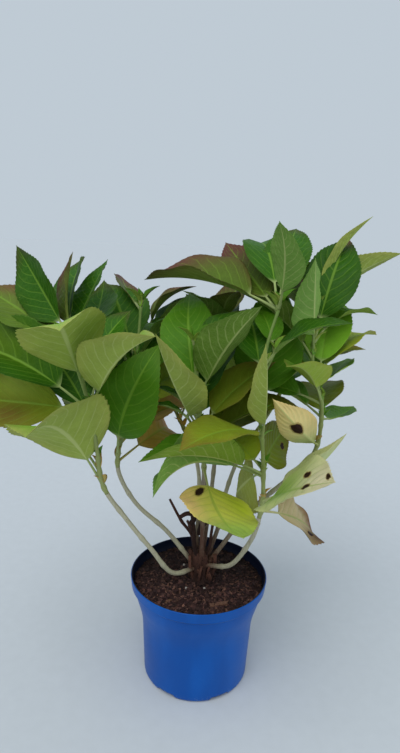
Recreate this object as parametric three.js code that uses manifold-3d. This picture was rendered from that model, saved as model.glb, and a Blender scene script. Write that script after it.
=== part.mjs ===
// A young hydrangea shrub in its blue plastic nursery pot, at real size.
// Millimetres. +Z is up, -Y is the front, and the origin is the middle of the pot's flat foot.
// Eight canes rise from a short woody stool in the soil. Each ends in a leafy shoot:
// a stem with opposite leaves on stalks, and small side twigs that branch by a seeded rule.

import * as THREE from "three";
import { mergeVertices } from "three/addons/utils/BufferGeometryUtils.js";
import Module from "manifold-3d";

const wasm = await Module();
wasm.setup();

// The clearance between pieces that meet
const GAP = 0.3;
// Points of one solid nearer than this are the same point
const WELD_DISTANCE = 1e-4;
// How tightly a smooth curve follows its route
const CURVE_TENSION = 0.5;
// The seeded draw: the next state is the last one times the factor, within the range
const DRAW_FACTOR = 16807;
const DRAW_RANGE = 2147483647;
const SEED_SPREAD = 7919;

// Pot
const POT_HEIGHT = 155;
const POT_WALL = 2.2;
const POT_FLOOR = 8;
const POT_SEGMENTS = 36;
const LIP_DEPTH = 15;
const FOOT_ROUND = 5;
const NOTCH_COUNT = 6;
const NOTCH_WIDTH = 28;
const NOTCH_HEIGHT = 6;
const NOTCH_DEPTH = 12;
const NOTCH_FIRST = -62;
// The outer wall's radius at each height, from the foot to the rim
const POT_OUTLINE = [
  [73.6, FOOT_ROUND],
  [74, 20],
  [75.2, 50],
  [76.2, 80],
  [78.8, 100],
  [84.2, 120],
  [87, POT_HEIGHT - LIP_DEPTH - 4],
  [91, POT_HEIGHT - LIP_DEPTH],
  [92, POT_HEIGHT - LIP_DEPTH + 1],
  [93, POT_HEIGHT],
];

// Soil, filled to just under the rim, level where the stool stands
const SOIL_TOP = 143;
const SOIL_BUMP = 2.6;
const SOIL_CLEAR = 0.4;
const SOIL_RINGS = [30, 48, 64, 78];
const SOIL_SEGMENTS = 24;
const CHIP_COUNT = 14;
const CHIP_SIZE = [16, 8, 5];
const CHIP_REACH = [36, 80];
const CHIP_TILT = 0.5;
const CHIP_WANDER = 0.2;
const SOIL_SEED = 5;

// Stool: the short woody stump that every cane starts from
const STOOL_FOOT = SOIL_TOP + GAP;
const STOOL_TOP = 182;
const STOOL_SIDES = 10;
// Height above the foot as a share of the stool, with the radius there
const STOOL_FLARE = [[0, 23], [0.18, 17.5], [0.5, 14.5], [0.8, 13], [1, 9]];
const STOOL_LEAN = [[4, 6], [2, 7], [0, 8]];
// Soft knobs around the stool, each level turned on from the one below
const KNOB_COUNT = 3;
const KNOB_SHARE = 0.12;
const KNOB_TURN = 2;

// Canes and stems
const CANE_SIDES = 8;
const CANE_STEP = 20;
const HALVINGS = 30;
const CANE_RADIUS = [3.2, 2.2];
const STICK_TAPER = 0.7;
const STEM_SIDES = 6;
const STEM_TIP = 1.6;

// Leaves
const BEYOND_BLADE = 0.04;
const STALK_SHARE = 0.2;
const STALK_RADIUS = 1.7;
const BLADE_HALF_WIDTH = 0.32;
const BLADE_STATIONS = [0.03, 0.18, 0.4, 0.64, 0.86];
const LEAF_THICKNESS = 0.019;
const TIP_WIDTH = 1.1;
// Blade outline q^A (1-q)^B, divided by its own greatest value
const OUTLINE_A = 0.75;
const OUTLINE_B = 1.2;
const WIDEST = OUTLINE_A / (OUTLINE_A + OUTLINE_B);
const OUTLINE_TOP = WIDEST ** OUTLINE_A * (1 - WIDEST) ** OUTLINE_B;

// Clearances that the leaves keep
const LEAF_CLEAR = 4;
const STEM_CLEAR = 6;
const EDGE_MARGIN = 5;
const SAMPLE_ROWS = 10;
const SAMPLE_COLUMNS = [-1, -0.5, 0, 0.5, 1];
const STEM_SAMPLE_STEP = 8;
const TURNS_TRIED = [0, 18, -18, 36, -36, 54, -54];
const LIFTS_TRIED = [0, 14, -14];

// Side twigs
const TWIG_LENGTH = [26, 48];
const TWIG_RISE = 58;
const TWIG_RADIUS = [1.9, 1.5];
const TWIG_PLACE = [0.15, 0.7];
const TWIG_SAMPLES = 5;
const TWIG_LEAF = [46, 72];
const TWIG_LEAF_RISE = 38;
const TWIG_LEAF_BOW = 0.1;
const TWIG_LEAF_FOLD = 18;
const TWIG_LEAF_HEADINGS = [-70, 70, 5];

// Each cane: its route from the stool to its tip, the height where its leafy shoot starts,
// and the leaves that give it its own look.
// A leaf is [height of its joint, heading, rise, length, bow, turn, fold], in mm and degrees.
// Heading 0 points to +X and 90 to the back, rise is above the level, length runs from
// the joint to the tip, bow is the arch as a share of the length, turn rolls the blade about
// its length, and fold lifts both halves from the midrib. An eighth value, where there is one,
// is the leaf's own half-width as a share of its blade.
const CANES = [
  {
    name: "left_front",
    seed: 11,
    leafyFrom: 299,
    route: [
      [-6, 2, 158], [-36, -25, 168], [-63, -45, 216], [-91, -55, 260], [-117, -65, 308],
      [-122, -75, 359], [-127, -80, 405], [-137, -80, 447], [-148, -75, 483],
    ],
    leaves: [
      [483, 79, 35, 140, 0.01, -35, 20, 0.26], [483, 151, 20, 140, -0.01, -25, 16, 0.3],
      [483, 94, 33, 150, 0.06, -45, 25, 0.27], [483, 141, 46, 130, -0.01, -85, 25, 0.3],
      [483, 98, 54, 110, 0.05, -70, 21, 0.26], [483, 85, 21, 150, -0.1, -20, 16, 0.29],
      [414, -87, 37, 170, 0.24, 20, 11], [407, 169, 0, 150, 0.08, -65, 37],
      [405, -50, 40, 160, 0.1, 0, 36, 0.3], [405, 162, 18, 185, 0.18, -35, 39],
      [307, -108, 38, 180, 0.22, 30, 20, 0.39],
    ],
    fill: { count: 8, from: 325, to: 450, headings: [40, 190] },
    twigs: 1,
  },
  {
    name: "left_back",
    seed: 23,
    leafyFrom: 314,
    route: [
      [-7, 8, 160], [-20, 9, 177], [-47, 5, 214], [-85, -5, 256], [-106, -15, 302], [-106, -20, 338],
      [-97, -15, 376], [-90, -5, 424], [-85, 5, 472], [-83, 15, 512],
    ],
    leaves: [
      [507, 108, 12, 145, -0.02, 35, 15, 0.24], [445, 115, 35, 145, 0.1, -10, 12],
      [333, -3, 70, 150, 0.23, 75, 11], [321, 69, -3, 150, 0.22, 40, 16],
    ],
    fill: { count: 12, from: 335, to: 468, headings: [20, 220] },
    twigs: 1,
  },
  {
    name: "centre",
    seed: 37,
    leafyFrom: 317,
    route: [[3, 3, 172], [2, -10, 268], [0, -30, 333], [-8, -50, 393], [-13, -60, 450], [-16, -60, 480]],
    leaves: [
      [435, 103, 32, 110, 0.11, -35, 15, 0.28], [416, -52, 51, 150, 0.06, -10, 29, 0.27],
      [410, 100, 54, 145, 0.19, -20, 13, 0.28], [377, -118, 52, 160, -0.03, -25, 31, 0.28],
      [322, -77, 0, 172, -0.09, -15, 6],
    ],
    fill: { count: 12, from: 325, to: 455, headings: [-20, 220] },
    twigs: 2,
  },
  {
    name: "right_front",
    seed: 41,
    leafyFrom: 268,
    route: [
      [10, 1, 164], [42, -20, 180], [64, -40, 230], [71, -50, 268], [73, -55, 294],
      [70, -60, 335], [66, -65, 370], [59, -65, 422], [63, -60, 478], [74, -50, 520],
    ],
    leaves: [
      [520, -101, 45, 125, 0.09, -30, 12, 0.21], [518, 97, 28, 145, 0.2, -5, 20, 0.27],
      [518, 75, 38, 145, 0.1, 0, 14, 0.24], [520, 153, 7, 175, 0.09, -10, 30],
      [518, 118, 30, 140, 0, -25, 15, 0.29], [402, 79, 47, 200, -0.1, 8, 7, 0.27],
      [375, -100, 62, 138, -0.02, 75, 39, 0.2], [335, 68, 11, 120, -0.06, 65, 10],
      [335, 114, 8, 110, 0.03, -20, 12], [335, 100, -38, 150, -0.05, 85, 18],
      [329, -154, 14, 160, 0.09, 15, 34], [326, -145, 4, 150, 0.24, 60, 37],
      [292, -72, 32, 175, 0.02, 35, 13], [287, 28, 32, 143, -0.06, -32, 30, 0.27],
      [278, 45, -34, 155, 0.09, 35, 11],
    ],
    fill: { count: 10, from: 340, to: 492, headings: [10, 180] },
    twigs: 1,
  },
  {
    name: "right",
    seed: 59,
    leafyFrom: 312,
    route: [
      [10, 6, 160], [29, 13, 186], [62, 26, 230], [104, 32, 272], [134, 26, 304], [147, 16, 338],
      [148, 10, 372], [145, 4, 398], [138, 2, 420], [128, 2, 450], [128, 6, 480],
      [132, 12, 517],
    ],
    leaves: [
      [508, 28, 60, 134, 0.11, -45, 35, 0.13], [486, 25, 39, 155, 0.16, -60, 21, 0.22],
      [472, 57, 58, 150, 0.18, 15, 11, 0.27], [468, -106, 51, 140, 0, 60, 24, 0.25],
      [424, 70, 45, 140, 0.15, 0, 12, 0.27], [424, 60, 7, 122, -0.02, -25, 13, 0.3],
      [404, -125, 30, 122, 0.13, 6, 20, 0.28], [400, 165, 5, 140, 0.1, -20, 20, 0.28],
      [380, 57, -6, 130, -0.05, 0, 25, 0.22], [342, -128, 35, 152, -0.1, 52, 26, 0.2],
    ],
    fill: { count: 14, from: 350, to: 505, headings: [75, 190] },
    twigs: 1,
  },
  {
    name: "back_left",
    seed: 67,
    leafyFrom: 330,
    route: [
      [-3, 14, 160], [-5, 27, 200], [-2, 36, 240], [-10, 55, 300], [-42, 85, 360], [-72, 104, 420],
      [-85, 110, 462],
    ],
    leaves: [],
    fill: { count: 18, from: 334, to: 460, headings: [0, 360] },
    twigs: 2,
  },
  {
    name: "back_centre",
    seed: 73,
    leafyFrom: 320,
    route: [
      [3, 14, 164], [9, 34, 210], [14, 50, 260], [20, 85, 340], [22, 105, 400], [20, 112, 445],
      [18, 114, 476],
    ],
    leaves: [],
    fill: { count: 20, from: 324, to: 474, headings: [0, 360] },
    twigs: 2,
  },
  {
    name: "back_right",
    seed: 89,
    leafyFrom: 330,
    route: [
      [10, 14, 168], [25, 32, 206], [30, 40, 240], [50, 60, 300], [95, 85, 370], [125, 100, 440],
      [132, 105, 505],
    ],
    leaves: [],
    fill: { count: 20, from: 334, to: 502, headings: [0, 360] },
    twigs: 2,
  },
];
// How the filled-in leaves change from the lowest joint to the highest
const FILL_RISE = [5, 44];
const FILL_LENGTH = [150, 92];
const FILL_TURN = 18;
const FILL_BOW = [0.08, 0.2];
const FILL_FOLD = [10, 26];
const FILL_SPREAD = 137.5;
const FILL_HEIGHT_WANDER = 5;
const FILL_RISE_WANDER = 8;
const FILL_LENGTH_WANDER = [0.9, 1.1];

// Dead sticks that still stand in the stool
const STICKS = [
  {
    name: "dead_stick_left",
    radius: 2.4,
    route: [[-6, 11, 176], [-12, 13, 204], [-27, 15, 224], [-43, 20, 252]],
  },
  {
    name: "dead_stick_upright",
    radius: 3,
    route: [[-3, 3, 174], [-8, 4, 196], [-9, 5, 218], [-13, 4, 243]],
  },
  {
    name: "dead_stub",
    radius: 2.6,
    route: [[8, 8, 176], [14, 9, 192], [15, 10, 209], [17, 10, 228]],
  },
];

const COLOURS = {
  pot: 0x1f5fc4,
  soil: 0x3a2420,
  stool: 0x4a3226,
  cane: 0xaab27f,
  stick: 0x2e211c,
  foliage: 0x5d8a34,
};

const ROUGHNESS = {
  pot: 0.35,
  soil: 0.95,
  stool: 0.9,
  cane: 0.7,
  stick: 0.9,
  foliage: 0.6,
};

// A seeded draw from 0 to 1, the same on every run
class Seeded {
  constructor(seed) {
    this.state = seed * SEED_SPREAD;
  }

  next() {
    this.state = (this.state * DRAW_FACTOR) % DRAW_RANGE;
    return this.state / DRAW_RANGE;
  }

  between(low, high) {
    return low + (high - low) * this.next();
  }
}

const radians = (degrees) => (degrees * Math.PI) / 180;
const mix = (a, b, share) => a + (b - a) * share;
const vector = (xyz) => new THREE.Vector3(...xyz);

// A geometry's bare triangles, with the points that fall together made one
function welded(geometry) {
  const bare = geometry.clone();
  bare.deleteAttribute("normal");
  bare.deleteAttribute("uv");
  return mergeVertices(bare, WELD_DISTANCE);
}

// A closed solid for joining and cutting, from a three.js geometry
function solidOf(geometry) {
  const merged = welded(geometry);
  const vertProperties = new Float32Array(merged.attributes.position.array);
  const triVerts = new Uint32Array(merged.index.array);
  return new wasm.Manifold(new wasm.Mesh({ numProp: 3, vertProperties, triVerts }));
}

// The largest body of a solid, with loose scraps dropped
function mainBody(solid) {
  const bodies = solid.decompose();
  return bodies.reduce((best, body) => (body.volume() > best.volume() ? body : best));
}

// A named mesh from a solid
function meshOf(name, solid, colour, roughness) {
  const { vertProperties, triVerts } = solid.getMesh();
  const geometry = new THREE.BufferGeometry();
  geometry.setAttribute("position", new THREE.BufferAttribute(new Float32Array(vertProperties), 3));
  geometry.setIndex(new THREE.BufferAttribute(new Uint32Array(triVerts), 1));
  geometry.computeVertexNormals();
  const material = new THREE.MeshStandardMaterial({ color: colour, roughness, metalness: 0 });
  const mesh = new THREE.Mesh(geometry, material);
  mesh.name = name;
  return mesh;
}

// A closed skin over rings of points that run anticlockwise seen from the last ring
function loft(rings) {
  const count = rings[0].length;
  const positions = rings.flat().flatMap((point) => [point.x, point.y, point.z]);
  const index = [];
  for (let ring = 0; ring + 1 < rings.length; ring += 1) {
    for (let side = 0; side < count; side += 1) {
      const a = ring * count + side;
      const b = ring * count + ((side + 1) % count);
      index.push(a, b, b + count, a, b + count, a + count);
    }
  }
  const last = (rings.length - 1) * count;
  for (let side = 1; side + 1 < count; side += 1) {
    index.push(0, side + 1, side, last, last + side, last + side + 1);
  }
  const geometry = new THREE.BufferGeometry();
  geometry.setAttribute("position", new THREE.Float32BufferAttribute(positions, 3));
  geometry.setIndex(index);
  return geometry;
}

// The smooth curve through a route's points
function curveOf(route) {
  return new THREE.CatmullRomCurve3(route.map(vector), false, "catmullrom", CURVE_TENSION);
}

// Where on a rising curve a height is reached, by halving
function shareAtHeight(curve, height) {
  let low = 0;
  let high = 1;
  for (let step = 0; step < HALVINGS; step += 1) {
    const middle = (low + high) / 2;
    if (curve.getPoint(middle).z < height) low = middle;
    else high = middle;
  }
  return (low + high) / 2;
}

// A tapering limb along part of a curve, round but for its flats
function limb(curve, from, to, radii, sides, step) {
  const length = curve.getPoint(from).distanceTo(curve.getPoint(to));
  const count = Math.max(2, Math.round(length / step));
  const rings = [];
  for (let ring = 0; ring <= count; ring += 1) {
    const share = mix(from, to, ring / count);
    const centre = curve.getPoint(share);
    const along = curve.getTangent(share);
    const across = new THREE.Vector3(0, 1, 0);
    across.addScaledVector(along, -across.dot(along)).normalize();
    const third = new THREE.Vector3().crossVectors(along, across);
    const radius = mix(radii[0], radii[1], ring / count);
    const points = [];
    for (let side = 0; side < sides; side += 1) {
      const angle = (2 * Math.PI * side) / sides;
      const point = centre.clone().addScaledVector(across, radius * Math.cos(angle));
      points.push(point.addScaledVector(third, radius * Math.sin(angle)));
    }
    rings.push(points);
  }
  return loft(rings);
}

// A turned shape about the Z axis from [radius, height] pairs
function turned(profile, segments) {
  const points = profile.map(([radius, height]) => new THREE.Vector2(radius, height));
  return new THREE.LatheGeometry(points, segments).rotateX(Math.PI / 2);
}

// The inner wall, a wall's thickness inside the outer one, shrunk by a clearance
function innerOutline(clearance) {
  return POT_OUTLINE.filter(([, height]) => height > POT_FLOOR).map(([radius, height]) => [
    radius - POT_WALL - clearance,
    height,
  ]);
}

function makePot() {
  const outer = [[0, 0], [POT_OUTLINE[0][0] - FOOT_ROUND, 0], ...POT_OUTLINE];
  const inner = innerOutline(0).reverse();
  const floorRadius = POT_OUTLINE[0][0] - POT_WALL;
  let pot = solidOf(turned([...outer, ...inner, [floorRadius, POT_FLOOR], [0, POT_FLOOR]], POT_SEGMENTS));
  for (let notch = 0; notch < NOTCH_COUNT; notch += 1) {
    const cutter = new THREE.BoxGeometry(2 * NOTCH_DEPTH, NOTCH_WIDTH, 2 * NOTCH_HEIGHT);
    cutter.translate(POT_OUTLINE[0][0] + GAP, 0, 0);
    cutter.rotateZ(radians(NOTCH_FIRST + (360 * notch) / NOTCH_COUNT));
    pot = pot.subtract(solidOf(cutter));
  }
  return meshOf("pot", pot, COLOURS.pot, ROUGHNESS.pot);
}

// Peat under a rough top, with the larger bark chips standing out of it
function makeSoil() {
  const draw = new Seeded(SOIL_SEED);
  const side = innerOutline(SOIL_CLEAR).filter(([, height]) => height < SOIL_TOP - 2 * SOIL_BUMP);
  const floorRadius = POT_OUTLINE[0][0] - POT_WALL - SOIL_CLEAR;
  const edge = side[side.length - 1][0];
  const profile = [[0, POT_FLOOR + GAP], [floorRadius, POT_FLOOR + GAP], ...side];
  profile.push([edge, SOIL_TOP - SOIL_BUMP]);
  for (const radius of [...SOIL_RINGS].reverse()) profile.push([radius, SOIL_TOP]);
  profile.push([0, SOIL_TOP]);
  const geometry = turned(profile, SOIL_SEGMENTS);
  const merged = welded(geometry);
  const place = merged.attributes.position;
  for (let index = 0; index < place.count; index += 1) {
    const radius = Math.hypot(place.getX(index), place.getY(index));
    const onTop = place.getZ(index) > SOIL_TOP - SOIL_CLEAR;
    if (onTop && radius > SOIL_RINGS[0] + SOIL_CLEAR) {
      place.setZ(index, SOIL_TOP + draw.between(-SOIL_BUMP, SOIL_BUMP));
    }
  }
  let soil = solidOf(merged);
  for (let chip = 0; chip < CHIP_COUNT; chip += 1) {
    const box = new THREE.BoxGeometry(...CHIP_SIZE);
    box.rotateX(draw.between(-CHIP_TILT, CHIP_TILT)).rotateZ(draw.between(0, Math.PI));
    const heading = (2 * Math.PI * chip) / CHIP_COUNT + draw.between(-CHIP_WANDER, CHIP_WANDER);
    const reach = draw.between(...CHIP_REACH);
    box.translate(reach * Math.cos(heading), reach * Math.sin(heading), SOIL_TOP);
    soil = soil.add(solidOf(box));
  }
  return meshOf("soil", soil, COLOURS.soil, ROUGHNESS.soil);
}

// The stool, or the same shape grown by a clearance to cut the limbs back from it
function stoolSolid(grow) {
  const lean = new THREE.QuadraticBezierCurve(...STOOL_LEAN.map(([x, y]) => new THREE.Vector2(x, y)));
  const rings = STOOL_FLARE.map(([share, radius], level) => {
    const centre = lean.getPoint(share);
    const height = mix(STOOL_FOOT, STOOL_TOP, share) + (level === 0 ? -grow : 0);
    const lift = level === STOOL_FLARE.length - 1 ? grow : 0;
    const points = [];
    for (let side = 0; side < STOOL_SIDES; side += 1) {
      const angle = (2 * Math.PI * side) / STOOL_SIDES;
      const knob = radius * (1 + KNOB_SHARE * Math.sin(KNOB_COUNT * angle + KNOB_TURN * level)) + grow;
      points.push(new THREE.Vector3(
        centre.x + knob * Math.cos(angle),
        centre.y + knob * Math.sin(angle),
        height + lift,
      ));
    }
    return points;
  });
  return solidOf(loft(rings));
}

// A leaf: a stalk and a thin blade, folded along the midrib and bowed along its length
class Leaf {
  constructor(root, [heading, rise, length, bow, turn, fold, width = BLADE_HALF_WIDTH]) {
    this.root = root;
    this.length = length;
    this.bow = bow;
    this.fold = radians(fold);
    this.width = width * length * (1 - STALK_SHARE);
    const level = Math.cos(radians(rise));
    this.along = new THREE.Vector3(
      level * Math.cos(radians(heading)),
      level * Math.sin(radians(heading)),
      Math.sin(radians(rise)),
    );
    const up = new THREE.Vector3(0, 0, 1).addScaledVector(this.along, -this.along.z).normalize();
    const side = new THREE.Vector3().crossVectors(this.along, up);
    const cos = Math.cos(radians(turn));
    const sin = Math.sin(radians(turn));
    this.up = up.clone().multiplyScalar(cos).addScaledVector(side, sin);
    this.side = side.clone().multiplyScalar(cos).addScaledVector(up, -sin);
  }

  // The midrib's point at a share of the whole length
  midrib(share) {
    const arch = 4 * this.bow * share * (1 - share);
    return this.root
      .clone()
      .addScaledVector(this.along, this.length * share)
      .addScaledVector(this.up, this.length * arch);
  }

  // The blade's own upward direction there
  normal(share) {
    return this.up.clone().addScaledVector(this.along, -4 * this.bow * (1 - 2 * share)).normalize();
  }

  // Half the blade's width at a share of the blade, 0 at its base and 1 at its tip
  halfWidth(share) {
    const inside = Math.min(Math.max(share, 0), 1);
    return (this.width * inside ** OUTLINE_A * (1 - inside) ** OUTLINE_B) / OUTLINE_TOP;
  }

  // A point of the blade, column -1 at its left edge and 1 at its right
  bladePoint(share, column) {
    const whole = mix(STALK_SHARE, 1, share);
    const reach = this.halfWidth(share);
    return this.midrib(whole)
      .addScaledVector(this.side, column * reach * Math.cos(this.fold))
      .addScaledVector(this.normal(whole), Math.abs(column) * reach * Math.sin(this.fold));
  }

  // One four-pointed ring of the solid: top, right, bottom, left
  ring(share, reach, thickness, lift) {
    const centre = this.midrib(share);
    const normal = this.normal(share);
    const edge = (way) => centre
      .clone()
      .addScaledVector(this.side, way * reach * Math.cos(lift))
      .addScaledVector(normal, reach * Math.sin(lift));
    const face = (way) => centre.clone().addScaledVector(normal, (way * thickness) / 2);
    return [face(1), edge(1), face(-1), edge(-1)];
  }

  solid() {
    const thickness = this.length * LEAF_THICKNESS;
    const rings = [
      this.ring(0, STALK_RADIUS, 2 * STALK_RADIUS, 0),
      this.ring(STALK_SHARE, STALK_RADIUS, 2 * STALK_RADIUS, 0),
    ];
    for (const share of BLADE_STATIONS) {
      rings.push(this.ring(mix(STALK_SHARE, 1, share), this.halfWidth(share), thickness, this.fold));
    }
    rings.push(this.ring(1, TIP_WIDTH, thickness / 2, 0));
    return solidOf(loft(rings));
  }

  samples() {
    const points = [];
    for (let row = 0; row <= SAMPLE_ROWS; row += 1) {
      for (const column of SAMPLE_COLUMNS) points.push(this.bladePoint(row / SAMPLE_ROWS, column));
    }
    return points;
  }

  // How far a point lies above the blade, or null when it isn't over the blade
  heightOf(point) {
    const apart = point.clone().sub(this.root);
    const share = apart.dot(this.along) / this.length;
    const across = Math.abs(apart.dot(this.side));
    const blade = (share - STALK_SHARE) / (1 - STALK_SHARE);
    if (blade < -BEYOND_BLADE || blade > 1 + BEYOND_BLADE) return null;
    if (across > this.halfWidth(blade) * Math.cos(this.fold) + EDGE_MARGIN) return null;
    const surface = this.length * 4 * this.bow * share * (1 - share) + across * Math.tan(this.fold);
    return apart.dot(this.up) - surface;
  }

  // Whether a set of points stays on one side of the blade, at least a clearance away
  clearsPoints(points, clearance) {
    let above = 0;
    let below = 0;
    for (const point of points) {
      const height = this.heightOf(point);
      if (height === null) continue;
      if (Math.abs(height) < clearance) return false;
      if (height > 0) above += 1;
      else below += 1;
    }
    return above === 0 || below === 0;
  }
}

// Everything that has been placed: leaves, and the stems' points
class Crown {
  constructor() {
    this.leaves = [];
    this.stems = [];
  }

  addStem(curve) {
    const length = curve.getLength();
    const count = Math.round(length / STEM_SAMPLE_STEP);
    this.stems.push(Array.from({ length: count + 1 }, (_, step) => curve.getPoint(step / count)));
  }

  isClear(leaf) {
    const own = leaf.samples();
    return (
      this.stems.every((stem) => leaf.clearsPoints(stem, STEM_CLEAR)) &&
      this.leaves.every((other) => leaf.clearsPoints(other.points, LEAF_CLEAR)) &&
      this.leaves.every((other) => other.leaf.clearsPoints(own, LEAF_CLEAR))
    );
  }

  add(leaf) {
    this.leaves.push({ leaf, points: leaf.samples() });
  }

  // Turns a leaf step by step until it is clear, and gives null when no turn clears it
  settle(root, [heading, rise, ...rest]) {
    for (const lift of LIFTS_TRIED) {
      for (const turn of TURNS_TRIED) {
        const leaf = new Leaf(root, [heading + turn, rise + lift, ...rest]);
        if (this.isClear(leaf)) {
          this.add(leaf);
          return leaf;
        }
      }
    }
    return null;
  }
}

// The leaves that the rule deals out along a shoot, low ones long and level, high ones short and steep
function fillLeaves(crown, cane, curve, draw) {
  const { count, from, to, headings } = cane.fill;
  const placed = [];
  let heading = mix(...headings, draw.next());
  for (let index = 0; index < count; index += 1) {
    const share = (index + 0.5) / count;
    const height = mix(from, to, share) + draw.between(-FILL_HEIGHT_WANDER, FILL_HEIGHT_WANDER);
    const root = curve.getPoint(shareAtHeight(curve, height));
    const span = headings[1] - headings[0];
    heading = headings[0] + ((heading - headings[0] + FILL_SPREAD) % span);
    const rise = mix(...FILL_RISE, share) + draw.between(-FILL_RISE_WANDER, FILL_RISE_WANDER);
    const length = mix(...FILL_LENGTH, share) * draw.between(...FILL_LENGTH_WANDER);
    const bow = draw.between(...FILL_BOW);
    const turn = draw.between(-FILL_TURN, FILL_TURN);
    const fold = draw.between(...FILL_FOLD);
    const leaf = crown.settle(root, [heading, rise, length, bow, turn, fold]);
    if (leaf) placed.push(leaf);
  }
  return placed;
}

// Small twigs in the leaf joints, each with a pair of young leaves and one at its end
function sideTwigs(crown, cane, curve, draw) {
  const { from, to, headings } = cane.fill;
  const twigs = [];
  for (let index = 0; index < cane.twigs; index += 1) {
    const height = mix(from, to, draw.between(...TWIG_PLACE));
    const root = curve.getPoint(shareAtHeight(curve, height));
    const heading = mix(...headings, draw.next());
    const length = draw.between(...TWIG_LENGTH);
    const level = Math.cos(radians(TWIG_RISE));
    const way = new THREE.Vector3(
      level * Math.cos(radians(heading)),
      level * Math.sin(radians(heading)),
      Math.sin(radians(TWIG_RISE)),
    );
    const tip = root.clone().addScaledVector(way, length);
    const line = Array.from({ length: TWIG_SAMPLES }, (_, step) => {
      return root.clone().lerp(tip, (step + 1) / TWIG_SAMPLES);
    });
    if (crown.leaves.some((other) => other.leaf.clearsPoints(line, LEAF_CLEAR) === false)) continue;
    const leaves = [];
    for (const spread of TWIG_LEAF_HEADINGS) {
      const size = draw.between(...TWIG_LEAF);
      const shape = [TWIG_LEAF_RISE, size, TWIG_LEAF_BOW, 0, TWIG_LEAF_FOLD];
      const leaf = crown.settle(tip, [heading + spread, ...shape]);
      if (leaf) leaves.push(leaf);
    }
    if (leaves.length > 0) twigs.push({ root, tip, leaves });
  }
  return twigs;
}

// A leafy shoot: its stem from just above the cane, its twigs and all its leaves in one solid
function makeFoliage(cane, curve, split, leaves, twigs, others) {
  const gapShare = GAP / curve.getLength();
  const stemRadii = [mix(...CANE_RADIUS, split), STEM_TIP];
  let solid = solidOf(limb(curve, split + gapShare, 1, stemRadii, STEM_SIDES, CANE_STEP));
  for (const twig of twigs) {
    const line = new THREE.CatmullRomCurve3([twig.root, twig.tip], false, "catmullrom", CURVE_TENSION);
    const piece = solidOf(limb(line, 0, 1, TWIG_RADIUS, STEM_SIDES, CANE_STEP));
    if (others.every((other) => touches(other, piece) === false)) solid = solid.add(piece);
  }
  const all = [...leaves, ...twigs.flatMap((twig) => twig.leaves)];
  for (const leaf of all) {
    const piece = leaf.solid();
    if (others.every((other) => touches(other, piece) === false)) solid = solid.add(piece);
  }
  return mainBody(solid);
}

function touches(one, other) {
  return one.intersect(other).volume() > 0;
}

const group = new THREE.Group();
group.add(makePot());
group.add(makeSoil());
group.add(meshOf("stool", stoolSolid(0), COLOURS.stool, ROUGHNESS.stool));

const grownStool = stoolSolid(GAP);
const limbs = [];
for (const stick of STICKS) {
  const curve = curveOf(stick.route);
  const radii = [stick.radius, STICK_TAPER * stick.radius];
  const solid = mainBody(solidOf(limb(curve, 0, 1, radii, STEM_SIDES, CANE_STEP)).subtract(grownStool));
  limbs.push(solid);
  group.add(meshOf(stick.name, solid, COLOURS.stick, ROUGHNESS.stick));
}

const crown = new Crown();
for (const cane of CANES) {
  cane.curve = curveOf(cane.route);
  cane.split = shareAtHeight(cane.curve, cane.leafyFrom);
  crown.addStem(cane.curve);
}
for (const cane of CANES) {
  const radii = [CANE_RADIUS[0], mix(...CANE_RADIUS, cane.split)];
  const whole = solidOf(limb(cane.curve, 0, cane.split, radii, CANE_SIDES, CANE_STEP));
  const solid = mainBody(whole.subtract(grownStool));
  limbs.push(solid);
  group.add(meshOf(`cane_${cane.name}`, solid, COLOURS.cane, ROUGHNESS.cane));
}
for (const cane of CANES) {
  cane.placed = cane.leaves.map(([height, ...rest]) => {
    const root = cane.curve.getPoint(shareAtHeight(cane.curve, height));
    const leaf = new Leaf(root, rest);
    crown.add(leaf);
    return leaf;
  });
}
const masses = [];
for (const cane of CANES) {
  const draw = new Seeded(cane.seed);
  cane.placed.push(...fillLeaves(crown, cane, cane.curve, draw));
  cane.branched = sideTwigs(crown, cane, cane.curve, draw);
}
for (const cane of CANES) {
  const solid = makeFoliage(cane, cane.curve, cane.split, cane.placed, cane.branched, [...limbs, ...masses]);
  masses.push(solid);
  group.add(meshOf(`foliage_${cane.name}`, solid, COLOURS.foliage, ROUGHNESS.foliage));
}

export default group;
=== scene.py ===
"""A young hydrangea shrub in its blue nursery pot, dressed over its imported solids.

The plant's own tables are in millimetres and degrees, and every mesh is in metres.
+Z is up, -Y is the front, and the origin is the middle of the pot's flat foot.
"""

from __future__ import annotations

import logging
import math
from dataclasses import dataclass, field
from enum import Enum

import bpy
import numpy as np
from mathutils import Matrix


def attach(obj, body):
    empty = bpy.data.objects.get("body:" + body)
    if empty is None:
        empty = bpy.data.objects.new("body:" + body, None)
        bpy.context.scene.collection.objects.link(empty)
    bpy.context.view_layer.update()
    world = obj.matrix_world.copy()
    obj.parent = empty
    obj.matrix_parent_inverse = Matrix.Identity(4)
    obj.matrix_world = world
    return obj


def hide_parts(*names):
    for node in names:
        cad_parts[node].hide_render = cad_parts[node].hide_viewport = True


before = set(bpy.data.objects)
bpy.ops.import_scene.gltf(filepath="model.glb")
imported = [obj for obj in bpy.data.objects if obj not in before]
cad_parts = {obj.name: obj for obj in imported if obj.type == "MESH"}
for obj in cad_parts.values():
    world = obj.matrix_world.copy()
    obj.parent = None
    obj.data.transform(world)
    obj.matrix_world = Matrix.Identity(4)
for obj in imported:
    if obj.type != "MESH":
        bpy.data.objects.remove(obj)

Pair = tuple[float, float]
Triple = tuple[float, float, float]
Array = np.ndarray
Socket = bpy.types.NodeSocket

log = logging.getLogger("hydrangea")
MM = 0.001
BODY = "root"


# Colours, draws and curves


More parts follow.
